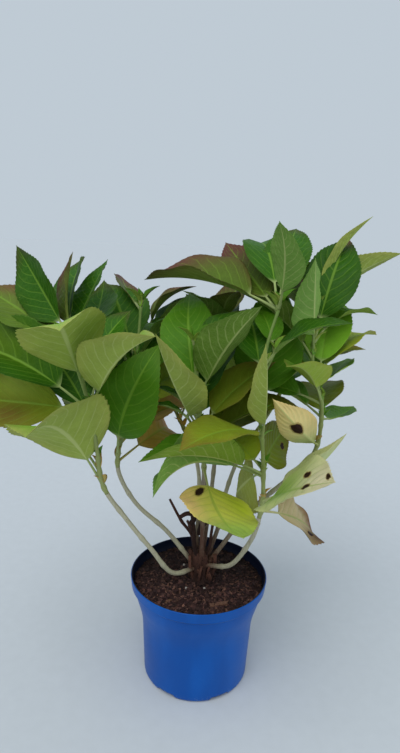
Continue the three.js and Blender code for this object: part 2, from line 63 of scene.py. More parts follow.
def linear(code: str) -> Array:
    """Turns a screen colour such as "3f6a1a" into the linear red, green and blue that a shader takes."""
    screen = np.array([int(code[at : at + 2], 16) for at in (0, 2, 4)]) / 255
    return np.where(screen <= 0.04045, screen / 12.92, ((screen + 0.055) / 1.055) ** 2.4)


def smooth(low: float, high: float, value: Array) -> Array:
    """Gives 0 at low, 1 at high, the curve 3t^2 - 2t^3 between them, and no change beyond either."""
    share = np.clip((value - low) / (high - low), 0, 1)
    return share * share * (3 - 2 * share)


def mix(a: float, b: float, share: float) -> float:
    """Gives the value a share of the way from a to b."""
    return a + (b - a) * share


def unit(vectors: Array) -> Array:
    """Gives vectors, along the last axis, at length 1."""
    return vectors / np.linalg.norm(vectors, axis=-1, keepdims=True)


def turns(count: int) -> Array:
    """Gives evenly spaced angles once round, as one row."""
    return np.linspace(0, 2 * np.pi, count, endpoint=False)[None, :]


def turned(a: Array, b: Array, angle: Array) -> tuple[Array, Array]:
    """Turns points in a plane, one row for each angle in radians: a cos - b sin, and a sin + b cos."""
    cos, sin = np.cos(angle)[:, None], np.sin(angle)[:, None]
    return a * cos - b * sin, a * sin + b * cos


def pointing(heading: float, rise: float) -> Array:
    """Gives the unit direction (cos rise cos heading, cos rise sin heading, sin rise).

    Args:
        heading: Degrees round Z, from +X.
        rise: Degrees above the level.

    Returns:
        The direction.
    """
    heading, rise = math.radians(heading), math.radians(rise)
    level = math.cos(rise)
    return np.array([level * math.cos(heading), level * math.sin(heading), math.sin(rise)])


class Seeded:
    """A draw from 0 to 1 that gives the same values on every run."""

    MULTIPLIER = 16807
    MODULUS = 2147483647
    SPREAD = 7919

    def __init__(self, seed: int) -> None:
        """Starts the draw.

        Args:
            seed: A whole number that the whole sequence follows from.
        """
        self.state = seed * self.SPREAD

    def next(self) -> float:
        """Gives the next value from 0 to 1."""
        self.state = (self.state * self.MULTIPLIER) % self.MODULUS
        return self.state / self.MODULUS

    def between(self, low: float, high: float) -> float:
        """Gives the next value from low to high."""
        return low + (high - low) * self.next()

    def pick(self, choices: tuple) -> object:
        """Gives one of the choices."""
        return choices[int(self.next() * len(choices)) % len(choices)]


class Route:
    """A smooth curve through points, cubic between each two and parallel at each to its neighbours' chord."""

    TENSION = 0.5
    LENGTH_STEPS = 200
    HALVINGS = 30
    TANGENT_STEP = 0.0001

    def __init__(self, points: tuple) -> None:
        """Keeps the points, with one more beyond each end.

        Args:
            points: The places that the curve goes through, in millimetres.
        """
        inner = np.array(points, float)
        self.spans = len(inner) - 1
        self.points = np.vstack([2 * inner[0] - inner[1], inner, 2 * inner[-1] - inner[-2]])

    def at(self, shares: Array) -> Array:
        """Gives points p1 + t0 w + c2 w^2 + c3 w^3 of the span that each share falls in.

        Args:
            shares: Places along the curve, 0 at its start and 1 at its end.

        Returns:
            One row of x, y and z for each share.
        """
        place = np.atleast_1d(np.asarray(shares, float)) * self.spans
        index = np.clip(np.floor(place).astype(int), 0, self.spans - 1)
        w = (place - index)[:, None]
        p0, p1, p2, p3 = (self.points[index + step] for step in range(4))
        t0 = self.TENSION * (p2 - p0)
        t1 = self.TENSION * (p3 - p1)
        c2 = -3 * p1 + 3 * p2 - 2 * t0 - t1
        c3 = 2 * p1 - 2 * p2 + t0 + t1
        return p1 + t0 * w + c2 * w**2 + c3 * w**3

    def tangents(self, shares: Array) -> Array:
        """Gives the curve's unit direction, from just behind a place to just ahead of it.

        Args:
            shares: Places along the curve, 0 at its start and 1 at its end.

        Returns:
            One row of x, y and z for each share.
        """
        shares = np.atleast_1d(np.asarray(shares, float))
        ahead = np.clip(shares + self.TANGENT_STEP, 0, 1)
        behind = np.clip(shares - self.TANGENT_STEP, 0, 1)
        return unit(self.at(ahead) - self.at(behind))

    def length(self) -> float:
        """Gives the curve's length in millimetres, by short chords."""
        points = self.at(np.linspace(0, 1, self.LENGTH_STEPS + 1))
        return float(np.linalg.norm(np.diff(points, axis=0), axis=1).sum())

    def share_at_height(self, height: float) -> float:
        """Finds where a rising curve reaches a height, by halving.

        Args:
            height: The height in millimetres.

        Returns:
            The share of the curve, from 0 to 1.
        """
        low, high = 0.0, 1.0
        for _ in range(self.HALVINGS):
            middle = (low + high) / 2
            if self.at(middle)[0, 2] < height:
                low = middle
            else:
                high = middle
        return (low + high) / 2

    def at_height(self, height: float) -> Array:
        """Gives a rising curve's point at a height."""
        return self.at(self.share_at_height(height))[0]


# Meshes


@dataclass
class Skin:
    """The points and faces of a piece, with the values that its points carry."""

    points: Array
    quads: Array
    triangles: Array
    values: dict[str, Array] = field(default_factory=dict)

    @staticmethod
    def joined(skins: list[Skin]) -> Skin:
        """Puts skins side by side in one, with their faces' point numbers moved on.

        Args:
            skins: Skins that all carry the same values.

        Returns:
            One skin with everything.
        """
        starts = np.cumsum([0] + [len(skin.points) for skin in skins[:-1]])
        return Skin(
            np.vstack([skin.points for skin in skins]),
            np.vstack([skin.quads + start for skin, start in zip(skins, starts)]),
            np.vstack([skin.triangles + start for skin, start in zip(skins, starts)]),
            {key: np.concatenate([skin.values[key] for skin in skins]) for key in skins[0].values},
        )

    @staticmethod
    def closed_loft(rings: Array, values: dict[str, Array] | None = None) -> Skin:
        """Skins over rings of points and closes both ends with a pole in the ring's middle.

        Args:
            rings: Points as rings, places around and x, y, z. They run anticlockwise seen from the last ring.
            values: What each point carries, with the same first two axes as the rings.

        Returns:
            A closed skin whose faces point outwards.
        """
        count, around = rings.shape[:2]
        ring, place = np.meshgrid(np.arange(count - 1), np.arange(around), indexing="ij")
        a = (ring * around + place).ravel()
        b = (ring * around + (place + 1) % around).ravel()
        quads = np.stack([a, b, b + around, a + around], axis=1)
        first = np.arange(around)
        second = (first + 1) % around
        last = (count - 1) * around
        low = np.full(around, count * around)
        triangles = np.vstack([
            np.stack([second, first, low], axis=1),
            np.stack([first + last, second + last, low + 1], axis=1),
        ])
        poles = np.stack([rings[0].mean(axis=0), rings[-1].mean(axis=0)])
        carried = {}
        for key, value in (values or {}).items():
            ends = np.stack([value[0].mean(axis=0), value[-1].mean(axis=0)])
            carried[key] = np.concatenate([value.reshape(count * around, *value.shape[2:]), ends])
        return Skin(np.vstack([rings.reshape(-1, 3), poles]), quads, triangles, carried)

    def make(
        self,
        name: str,
        material: bpy.types.Material,
        slot: str,
        replaces: tuple[str, ...],
        smooth_faces: bool = True,
    ) -> bpy.types.Object:
        """Makes the object that shows this skin and rides on the plant's one body.

        Args:
            name: The piece's name.
            material: Its finish.
            slot: The record's material slot that the finish belongs to; not used.
            replaces: The CAD nodes that the piece stands for.
            smooth_faces: Whether the faces are shaded as one smooth surface.

        Returns:
            The new object, at the origin.
        """
        mesh = bpy.data.meshes.new(name)
        mesh.vertices.add(len(self.points))
        mesh.vertices.foreach_set("co", (self.points * MM).astype(np.float32).ravel())
        corners = np.concatenate([self.quads.ravel(), self.triangles.ravel()])
        sizes = np.concatenate([np.full(len(self.quads), 4), np.full(len(self.triangles), 3)])
        mesh.loops.add(len(corners))
        mesh.loops.foreach_set("vertex_index", corners.astype(np.int32))
        mesh.polygons.add(len(sizes))
        mesh.polygons.foreach_set("loop_start", (np.cumsum(sizes) - sizes).astype(np.int32))
        mesh.update(calc_edges=True)
        for key, value in self.values.items():
            if value.ndim == 2 and value.shape[1] == 2:
                layer = mesh.uv_layers.new(name=key)
                layer.uv.foreach_set("vector", value[corners].astype(np.float32).ravel())
            elif value.ndim == 2:
                attribute = mesh.attributes.new(key, "FLOAT_COLOR", "POINT")
                attribute.data.foreach_set("color", value.astype(np.float32).ravel())
            else:
                attribute = mesh.attributes.new(key, "FLOAT", "POINT")
                attribute.data.foreach_set("value", value.astype(np.float32))
        mesh.polygons.foreach_set("use_smooth", np.full(len(sizes), smooth_faces))
        mesh.materials.append(material)
        mesh.validate()
        piece = bpy.data.objects.new(name, mesh)
        bpy.context.scene.collection.objects.link(piece)
        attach(piece, BODY)
        if replaces:
            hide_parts(*replaces)
        log.info("%s: %d points, %d faces", name, len(self.points), len(sizes))
        return piece


def tube(
    route: Route,
    shares: Array,
    radii: Array,
    sides: int,
    values: dict[str, Array] | None = None,
) -> Skin:
    """Carries a ring along a route: centre + radius (cos a across + sin a third).

    Args:
        route: The curve that the rings' centres follow.
        shares: Where along the route each ring stands.
        radii: Each ring's radius in millimetres, as rings or as rings by places around.
        sides: How many places around.
        values: One value for each ring, carried by all its points.

    Returns:
        The closed tube.
    """
    centres = route.at(shares)
    along = route.tangents(shares)
    across = unit(np.array([0.0, 1.0, 0.0]) - along * along[:, 1:2])
    third = np.cross(along, across)
    angle = turns(sides)[..., None]
    reach = radii[:, None] if radii.ndim == 1 else radii
    around = np.cos(angle) * across[:, None] + np.sin(angle) * third[:, None]
    rings = centres[:, None] + reach[:, :, None] * around
    carried = {key: np.repeat(value[:, None], sides, axis=1) for key, value in (values or {}).items()}
    return Skin.closed_loft(rings, carried)


@dataclass(frozen=True)
class Wave:
    """Waves round a limb: their height, how many go round, and how far they twist along it."""

    height: float
    count: int
    twist: float = 0.0

    def at(self, angle: Array, along: float | Array = 0.0, shift: float = 0.0) -> Array:
        """Gives height sin(count angle + twist along + shift)."""
        return self.height * np.sin(self.count * angle + self.twist * along + shift)


# Finishes


class Graph:
    """Lays out the nodes of one material, with the shader at its end."""

    FIRST_COLOUR = 6
    SECOND_COLOUR = 7
    JOINED_COLOUR = 2

    def __init__(self, name: str, roughness: float, specular: float = 0.5) -> None:
        """Starts a material.

        Args:
            name: The material's name.
            roughness: The shader's roughness where nothing is linked to it.
            specular: The shader's specular level.
        """
        self.material = bpy.data.materials.new(name)
        self.material.use_nodes = True
        self.tree = self.material.node_tree
        self.shader = self.tree.nodes["Principled BSDF"]
        self.shader.inputs["Roughness"].default_value = roughness
        self.shader.inputs["Specular IOR Level"].default_value = specular

    def node(self, kind: str, inputs: dict, **settings: object) -> bpy.types.Node:
        """Adds a node, sets its options and fills its inputs.

        Args:
            kind: The node's type.
            inputs: A socket or a plain value for each input, by its name or number.
            **settings: The node's options.

        Returns:
            The new node.
        """
        node = self.tree.nodes.new(kind)
        for key, value in settings.items():
            setattr(node, key, value)
        for key, value in inputs.items():
            self.feed(node.inputs[key], value)
        return node

    def feed(self, socket: Socket, value: object) -> None:
        """Links a socket to another one, or gives it a plain value.

        Args:
            socket: The input to fill.
            value: Another socket, a number or a row of numbers; three of them fill a colour, with 1 after.
        """
        if isinstance(value, Socket):
            self.tree.links.new(value, socket)
        elif isinstance(value, (Array, tuple)) and len(value) == 3 and socket.type == "RGBA":
            socket.default_value = (*(float(part) for part in value), 1)
        elif isinstance(value, (Array, tuple)):
            socket.default_value = tuple(float(part) for part in value)
        else:
            socket.default_value = value

    def math(self, operation: str, a: object, b: object = 0.0, clamp: bool = False) -> Socket:
        """Gives the socket of one step of arithmetic."""
        return self.node("ShaderNodeMath", {0: a, 1: b}, operation=operation, use_clamp=clamp).outputs[0]

    def times(self, a: object, b: object) -> Socket:
        """Gives the socket of a product."""
        return self.math("MULTIPLY", a, b)

    def plus(self, a: object, b: object, clamp: bool = False) -> Socket:
        """Gives the socket of a sum."""
        return self.math("ADD", a, b, clamp)

    def attribute(self, name: str) -> bpy.types.Node:
        """Gives the node that reads one of the piece's own attributes."""
        return self.node("ShaderNodeAttribute", {}, attribute_name=name)

    def place(self) -> Socket:
        """Gives the object coordinates, in metres."""
        return self.node("ShaderNodeTexCoord", {}).outputs["Object"]

    def noise(self, vector: object, scale: float, detail: float = 3.0, roughness: float = 0.5) -> Socket:
        """Gives cloudy noise from 0 to 1, its clouds about 1 / scale across."""
        inputs = {"Vector": vector, "Scale": scale, "Detail": detail, "Roughness": roughness}
        return self.node("ShaderNodeTexNoise", inputs).outputs["Fac"]

    def steps(self, value: object, low: float, high: float) -> Socket:
        """Gives 0 at low, 1 at high, a smooth curve between them, and no change beyond either."""
        inputs = {"Value": value, "From Min": low, "From Max": high, "To Min": 0.0, "To Max": 1.0}
        return self.node("ShaderNodeMapRange", inputs, interpolation_type="SMOOTHSTEP").outputs["Result"]

    def blend(self, share: object, a: object, b: object, how: str = "MIX") -> Socket:
        """Gives the colour a share of the way from a to b, or another way of joining them.

        Args:
            share: How far from a to b, 0 to 1.
            a: The first colour.
            b: The second colour.
            how: The way of joining, by the node's own word.

        Returns:
            The joined colour.
        """
        node = self.node("ShaderNodeMix", {}, data_type="RGBA", blend_type=how)
        self.feed(node.inputs["Factor"], share)
        self.feed(node.inputs[self.FIRST_COLOUR], a)
        self.feed(node.inputs[self.SECOND_COLOUR], b)
        return node.outputs[self.JOINED_COLOUR]

    def stretched(self, vector: object, scale: Triple) -> Socket:
        """Gives coordinates stretched along each axis."""
        return self.node("ShaderNodeMapping", {"Vector": vector, "Scale": scale}).outputs[0]

    def bump(self, height: object, strength: float, distance: float) -> None:
        """Roughens the surface by a height, with a strength and a depth in metres."""
        inputs = {"Height": height, "Strength": strength, "Distance": distance}
        self.feed(self.shader.inputs["Normal"], self.node("ShaderNodeBump", inputs).outputs[0])

    def colour(self, value: object) -> None:
        """Gives the shader its colour."""
        self.feed(self.shader.inputs["Base Color"], value)

    def roughness(self, value: object) -> None:
        """Gives the shader its roughness."""
        self.feed(self.shader.inputs["Roughness"], value)


@dataclass(frozen=True)
class PotPlastic:
    """Bright blue satin plastic outside, with a near-black inner layer that shows on the lip and inside."""

    blue: str = "0055aa"
    deep_blue: str = "004a9a"
    liner: str = "0a1226"
    dust: str = "8fa3bd"
    gloss: float = 0.22
    roughness: float = 0.36
    cloud_stretch: Triple = (1.0, 1.0, 0.3)
    cloud_scale: float = 22.0
    cloud_steps: Pair = (0.35, 0.7)
    dust_height: float = 0.012
    dust_everywhere: float = 0.02
    dust_scale: float = 420.0
    dust_steps: Pair = (0.52, 0.72)
    liner_steps: Pair = (0.45, 0.55)
    scuff_stretch: Triple = (1.0, 1.0, 5.0)
    scuff_scale: float = 90.0
    scuff_roughness: float = 0.22
    scuff_drop: float = 0.08
    grain_scale: float = 300.0
    grain_strength: float = 0.05
    grain_depth: float = 0.0004

    def material(self) -> bpy.types.Material:
        """Lays out the plastic: two blues in soft clouds, fine scuffs, and a little dust low on the wall.

        Returns:
            The pot's material.
        """
        graph = Graph("pot_plastic", self.roughness, self.gloss)
        place = graph.place()
        clouds = graph.noise(graph.stretched(place, self.cloud_stretch), self.cloud_scale, detail=4.0)
        blue = graph.blend(graph.steps(clouds, *self.cloud_steps), linear(self.deep_blue), linear(self.blue))
        height = graph.node("ShaderNodeSeparateXYZ", {"Vector": place}).outputs["Z"]
        low = graph.steps(height, self.dust_height, 0.0)
        specks = graph.noise(place, self.dust_scale, detail=6.0, roughness=0.7)
        grains = graph.steps(specks, *self.dust_steps)
        dusty = graph.times(graph.plus(low, self.dust_everywhere), grains)
        blue = graph.blend(dusty, blue, linear(self.dust))
        liner = graph.attribute("liner").outputs["Fac"]
        graph.colour(graph.blend(graph.steps(liner, *self.liner_steps), blue, linear(self.liner)))
        stretched = graph.stretched(place, self.scuff_stretch)
        scuffs = graph.noise(stretched, self.scuff_scale, detail=8.0, roughness=0.7)
        rough = graph.times(scuffs, self.scuff_roughness)
        graph.roughness(graph.plus(rough, self.roughness - self.scuff_drop))
        graph.bump(graph.noise(place, self.grain_scale), self.grain_strength, self.grain_depth)
        return graph.material


@dataclass(frozen=True)
class Peat:
    """Dark reddish-brown peat and bark chips, damp and rough, each chip with its own brown."""

    dark: str = "241615"
    gloss: float = 0.3
    roughness: float = 0.92
    grain_scale: float = 700.0
    grain_steps: Pair = (0.35, 0.7)
    grain_strength: float = 0.55
    lump_scale: float = 900.0
    lump_strength: float = 0.7
    lump_depth: float = 0.0012

    def material(self) -> bpy.types.Material:
        """Lays out the peat: the chip's own brown, darkened in grains, on a lumpy surface.

        Returns:
            The soil's material.
        """
        graph = Graph("peat", self.roughness, self.gloss)
        place = graph.place()
        cloudy = graph.noise(place, self.grain_scale, detail=5.0, roughness=0.65)
        grain = graph.steps(cloudy, *self.grain_steps)
        own = graph.attribute("tone").outputs["Color"]
        graph.colour(graph.blend(graph.times(grain, self.grain_strength), own, linear(self.dark)))
        lumps = graph.noise(place, self.lump_scale, detail=6.0, roughness=0.7)
        graph.bump(lumps, self.lump_strength, self.lump_depth)
        return graph.material


@dataclass(frozen=True)
class Bark:
    """Bark with streaks and specks, changing from old to young along the limb."""

    name: str
    old: str
    young: str
    speck: str
    speck_share: float
    roughness: float
    relief: float
    gloss: float = 0.35
    streak_stretch: Triple = (1.0, 1.0, 0.18)
    streak_scale: float = 520.0
    streak_wear: float = 0.7
    streak_steps: Pair = (0.55, 0.75)
    streak_strength: float = 0.35
    speck_stretch: Triple = (1.0, 1.0, 0.6)
    speck_scale: float = 230.0
    speck_core: float = 0.55
    speck_strength: float = 0.85
    speck_relief: float = -0.4
    relief_strength: float = 0.55

    def material(self) -> bpy.types.Material:
        """Lays out the bark: old to young by the limb's age value, then dark streaks, then specks.

        Returns:
            The limb's material.
        """
        graph = Graph(self.name, self.roughness, self.gloss)
        place = graph.place()
        age = graph.attribute("age").outputs["Fac"]
        stretched = graph.stretched(place, self.streak_stretch)
        streaks = graph.noise(stretched, self.streak_scale, detail=6.0, roughness=0.65)
        wear = graph.times(graph.plus(streaks, -0.5), self.streak_wear)
        worn = graph.plus(age, wear, clamp=True)
        base = graph.blend(worn, linear(self.young), linear(self.old))
        dark = graph.times(graph.steps(streaks, *self.streak_steps), self.streak_strength)
        base = graph.blend(dark, base, linear(self.speck))
        cells = {"Vector": graph.stretched(place, self.speck_stretch), "Scale": self.speck_scale}
        apart = graph.node("ShaderNodeTexVoronoi", cells).outputs["Distance"]
        dots = graph.steps(apart, self.speck_share, self.speck_share * self.speck_core)
        graph.colour(graph.blend(graph.times(dots, self.speck_strength), base, linear(self.speck)))
        height = graph.plus(streaks, graph.times(dots, self.speck_relief))
        graph.bump(height, self.relief_strength, self.relief)
        return graph.material


@dataclass(frozen=True)
class LeafSkin:
    """A hydrangea leaf's surface: its own tone, lighter veins, cloudy patches and dry brown spots."""

    vein_upper: str = "7ea334"
    vein_lower: str = "c6cf84"
    spot: str = "2b1409"
    halo: str = "8a6a2a"
    gloss: float = 0.12
    roughness_upper: float = 0.5
    roughness_lower: float = 0.66
    veins: float = 9.0
    slant: float = 0.22
    sweep: float = 0.10
    wobble_scale: float = 5.0
    wobble: float = 0.5
    side_vein: float = 0.12
    margin_fade: Pair = (1.0, 0.75)
    rib: Pair = (0.075, 0.025)
    rib_gain: float = 1.9
    stalk_fade: Pair = (0.0, 0.03)
    net_stretch: Triple = (14.0, 34.0, 1.0)
    net_line: Pair = (0.10, 0.02)
    net_strength: float = 0.22
    vein_strength: float = 0.36
    vein_fade_above: float = -0.1
    cloud_scale: float = 45.0
    cloud_strength: float = 0.5
    cloud_base: float = 0.76
    ragged_scale: float = 260.0
    ragged: float = 0.4
    halo_steps: Pair = (0.3, 0.5)
    halo_strength: float = 0.7
    spot_steps: Pair = (0.5, 0.62)
    pore_scale: float = 800.0
    pore_relief: float = 0.3
    vein_relief: float = -0.6
    relief_strength: float = 0.35
    relief_depth: float = 0.0008

    def vein_lines(self, graph: Graph) -> Socket:
        """Draws the veins on the leaf's own map: side veins, midrib and the fine net between them.

        With v across and q along the blade, a side vein lies where veins (q - slant |v| - sweep v^2), a
        little wobbled, is halfway between two whole numbers.

        Args:
            graph: The leaf's nodes.

        Returns:
            0 between the veins and 1 on a side vein, with more on the midrib and less on the net.
        """
        plan = graph.node("ShaderNodeUVMap", {}, uv_map="plan").outputs[0]
        parts = graph.node("ShaderNodeSeparateXYZ", {"Vector": plan})
        across = graph.math("ABSOLUTE", graph.plus(parts.outputs["X"], -0.5))
        across = graph.times(across, 2.0)
        along = parts.outputs["Y"]
        square = graph.times(across, across)
        start = graph.math("SUBTRACT", along, graph.times(across, self.slant))
        start = graph.math("SUBTRACT", start, graph.times(square, self.sweep))
        wobble = graph.times(graph.noise(plan, self.wobble_scale, detail=2.0), self.wobble)
        phase = graph.plus(graph.times(start, self.veins), wobble)
        apart = graph.math("ABSOLUTE", graph.plus(graph.math("FRACT", phase), -0.5))
        side_veins = graph.steps(apart, self.side_vein, 0.0)
        side_veins = graph.times(side_veins, graph.steps(across, *self.margin_fade))
        midrib = graph.times(graph.steps(across, *self.rib), self.rib_gain)
        cells = {"Vector": graph.stretched(plan, self.net_stretch), "Scale": 1.0}
        net = graph.node("ShaderNodeTexVoronoi", cells, feature="DISTANCE_TO_EDGE").outputs["Distance"]
        net_lines = graph.times(graph.steps(net, *self.net_line), self.net_strength)
        lines = graph.math("MAXIMUM", graph.math("MAXIMUM", side_veins, midrib), net_lines)
        return graph.times(lines, graph.steps(along, *self.stalk_fade))

    def spotted(self, graph: Graph, tone: Socket) -> Socket:
        """Lays the dry spots over a tone, ragged at the edge and each with a paler halo.

        Args:
            graph: The leaf's nodes.
            tone: The leaf's colour without spots.

        Returns:
            The colour with spots.
        """
        rough = graph.noise(graph.place(), self.ragged_scale, detail=5.0, roughness=0.6)
        ragged = graph.times(graph.plus(rough, -0.5), self.ragged)
        spot = graph.plus(graph.attribute("spot").outputs["Fac"], ragged)
        halo = graph.times(graph.steps(spot, *self.halo_steps), self.halo_strength)
        tone = graph.blend(halo, tone, linear(self.halo))
        return graph.blend(graph.steps(spot, *self.spot_steps), tone, linear(self.spot))

    def material(self) -> bpy.types.Material:
        """Lays out the leaf: its own tone under soft clouds, then the veins, then the dry spots.

        Returns:
            The material that all leaves share.
        """
        graph = Graph("leaf", self.roughness_upper, self.gloss)
        lines = self.vein_lines(graph)
        upper = graph.attribute("upper").outputs["Fac"]
        place = graph.place()
        clouds = graph.noise(place, self.cloud_scale, detail=4.0, roughness=0.6)
        shade = graph.plus(graph.times(clouds, self.cloud_strength), self.cloud_base)
        grey = graph.node("ShaderNodeCombineColor", {0: shade, 1: shade, 2: shade}).outputs[0]
        tone = graph.blend(1.0, graph.attribute("tone").outputs["Color"], grey, "MULTIPLY")
        vein = graph.blend(upper, linear(self.vein_lower), linear(self.vein_upper))
        faded = graph.times(upper, self.vein_fade_above)
        strength = graph.plus(self.vein_strength, faded)
        tone = graph.blend(graph.times(lines, strength), tone, vein)
        graph.colour(self.spotted(graph, tone))
        smoother = graph.times(upper, self.roughness_upper - self.roughness_lower)
        graph.roughness(graph.plus(self.roughness_lower, smoother))
        pores = graph.times(graph.noise(place, self.pore_scale), self.pore_relief)
        height = graph.plus(graph.times(lines, self.vein_relief), pores)
        graph.bump(height, self.relief_strength, self.relief_depth)
        return graph.material


@dataclass(frozen=True)
class Plain:
    """A plain matt finish, for the floor and the pale grains in the soil."""

    name: str
    shade: str
    gloss: float = 0.2
    roughness: float = 0.9
    grain_scale: float = 60.0
    darkest: float = 0.96
    lightest: float = 1.04

    def material(self) -> bpy.types.Material:
        """Lays out the finish: one colour under a faint grain.

        Returns:
            The plain material.
        """
        graph = Graph(self.name, self.roughness, self.gloss)
        grain = graph.noise(graph.place(), self.grain_scale, detail=5.0)
        shade = linear(self.shade)
        graph.colour(graph.blend(grain, shade * self.darkest, np.clip(shade * self.lightest, 0, 1)))
        return graph.material


@dataclass(frozen=True)
class LeafTint:
    """The colours of one kind of leaf, from its upper face to its stalk, and how far its edge waves."""

    upper: str
    lower: str
    tip: str
    tip_from: float
    tip_strength: float
    edge: str
    edge_strength: float
    stalk: str = "9aa868"
    curl: float = 1.0


class Look(Enum):
    """The kinds of leaf on the shrub, from deep green to dry."""

    DARK = LeafTint("2f6009", "7d983c", "4a3420", 0.75, 0.5, "3a4a12", 0.3)
    DEEP = LeafTint("2a5707", "6f9036", "334f0e", 0.75, 0.4, "2f4a0e", 0.25)
    BRONZE = LeafTint("4a5e18", "87963f", "5e2a30", 0.35, 0.9, "5a2c2a", 0.5)
    MID = LeafTint("44730d", "88a43a", "527216", 0.8, 0.4, "50701a", 0.2)
    SOFT = LeafTint("548527", "7aa048", "6a8c38", 0.75, 0.4, "688a38", 0.25)
    FRESH = LeafTint("72a428", "a0bb48", "84ac30", 0.8, 0.3, "84a832", 0.2)
    PALE = LeafTint("7ba835", "98a94a", "a8a258", 0.7, 0.5, "a69a52", 0.35)
    BRIGHT = LeafTint("80b434", "b4ce4e", "b0a050", 0.8, 0.5, "b09a4c", 0.35)
    OLIVE = LeafTint("73811c", "929c40", "6f5524", 0.65, 0.6, "75602a", 0.4)
    LIME = LeafTint("8ea326", "a6b048", "9a8a2e", 0.7, 0.6, "9a8a32", 0.4)
    GOLD = LeafTint("d0ce54", "c4c266", "98b04a", 0.5, 0.9, "c8b468", 0.35, "b4ba74")
    AMBER = LeafTint("c8a352", "c6ab60", "c4813a", 0.5, 0.6, "b5823a", 0.5, "b0a560")
    FADED = LeafTint("bcc584", "bac386", "cabf86", 0.6, 0.6, "c4c084", 0.4, "b9c27e")
    CREAM = LeafTint("dec88a", "dcc684", "d0ae70", 0.7, 0.5, "cba860", 0.4, "bcc47c")
    TAN = LeafTint("cdb988", "cbb98c", "7d4a2c", 0.5, 1.0, "b08a5c", 0.5, "b6b27a", 2.2)


# The plant's own rule, the same as the source's


@dataclass(frozen=True)
class Mark:
    """A dry brown spot on a blade, or a soft patch of another colour where one is named."""

    along: float
    across: float
    long: float
    wide: float
    colour: str = ""


@dataclass(frozen=True)
class LeafRow:
    """One leaf: its joint's height, its way and its shape, with its colours and its marks."""

    height: float
    heading: float
    rise: float
    length: float
    bow: float
    turn: float
    fold: float
    look: Look
    width: float = 0.32
    marks: tuple[Mark, ...] = ()


@dataclass(frozen=True)
class Fill:
    """How many leaves the rule deals out on a shoot, between which heights and headings."""

    count: int
    low: float
    high: float
    headings: Pair


@dataclass
class Cane:
    """One cane: its route from the stool to its tip, and the leaves on its shoot."""

    name: str
    seed: int
    leafy_from: float
    route: Route
    rows: tuple[LeafRow, ...]
    fill: Fill
    twigs: int
    leaves: list[tuple] = field(default_factory=list)
    twig_lines: list[tuple[Array, Array]] = field(default_factory=list)


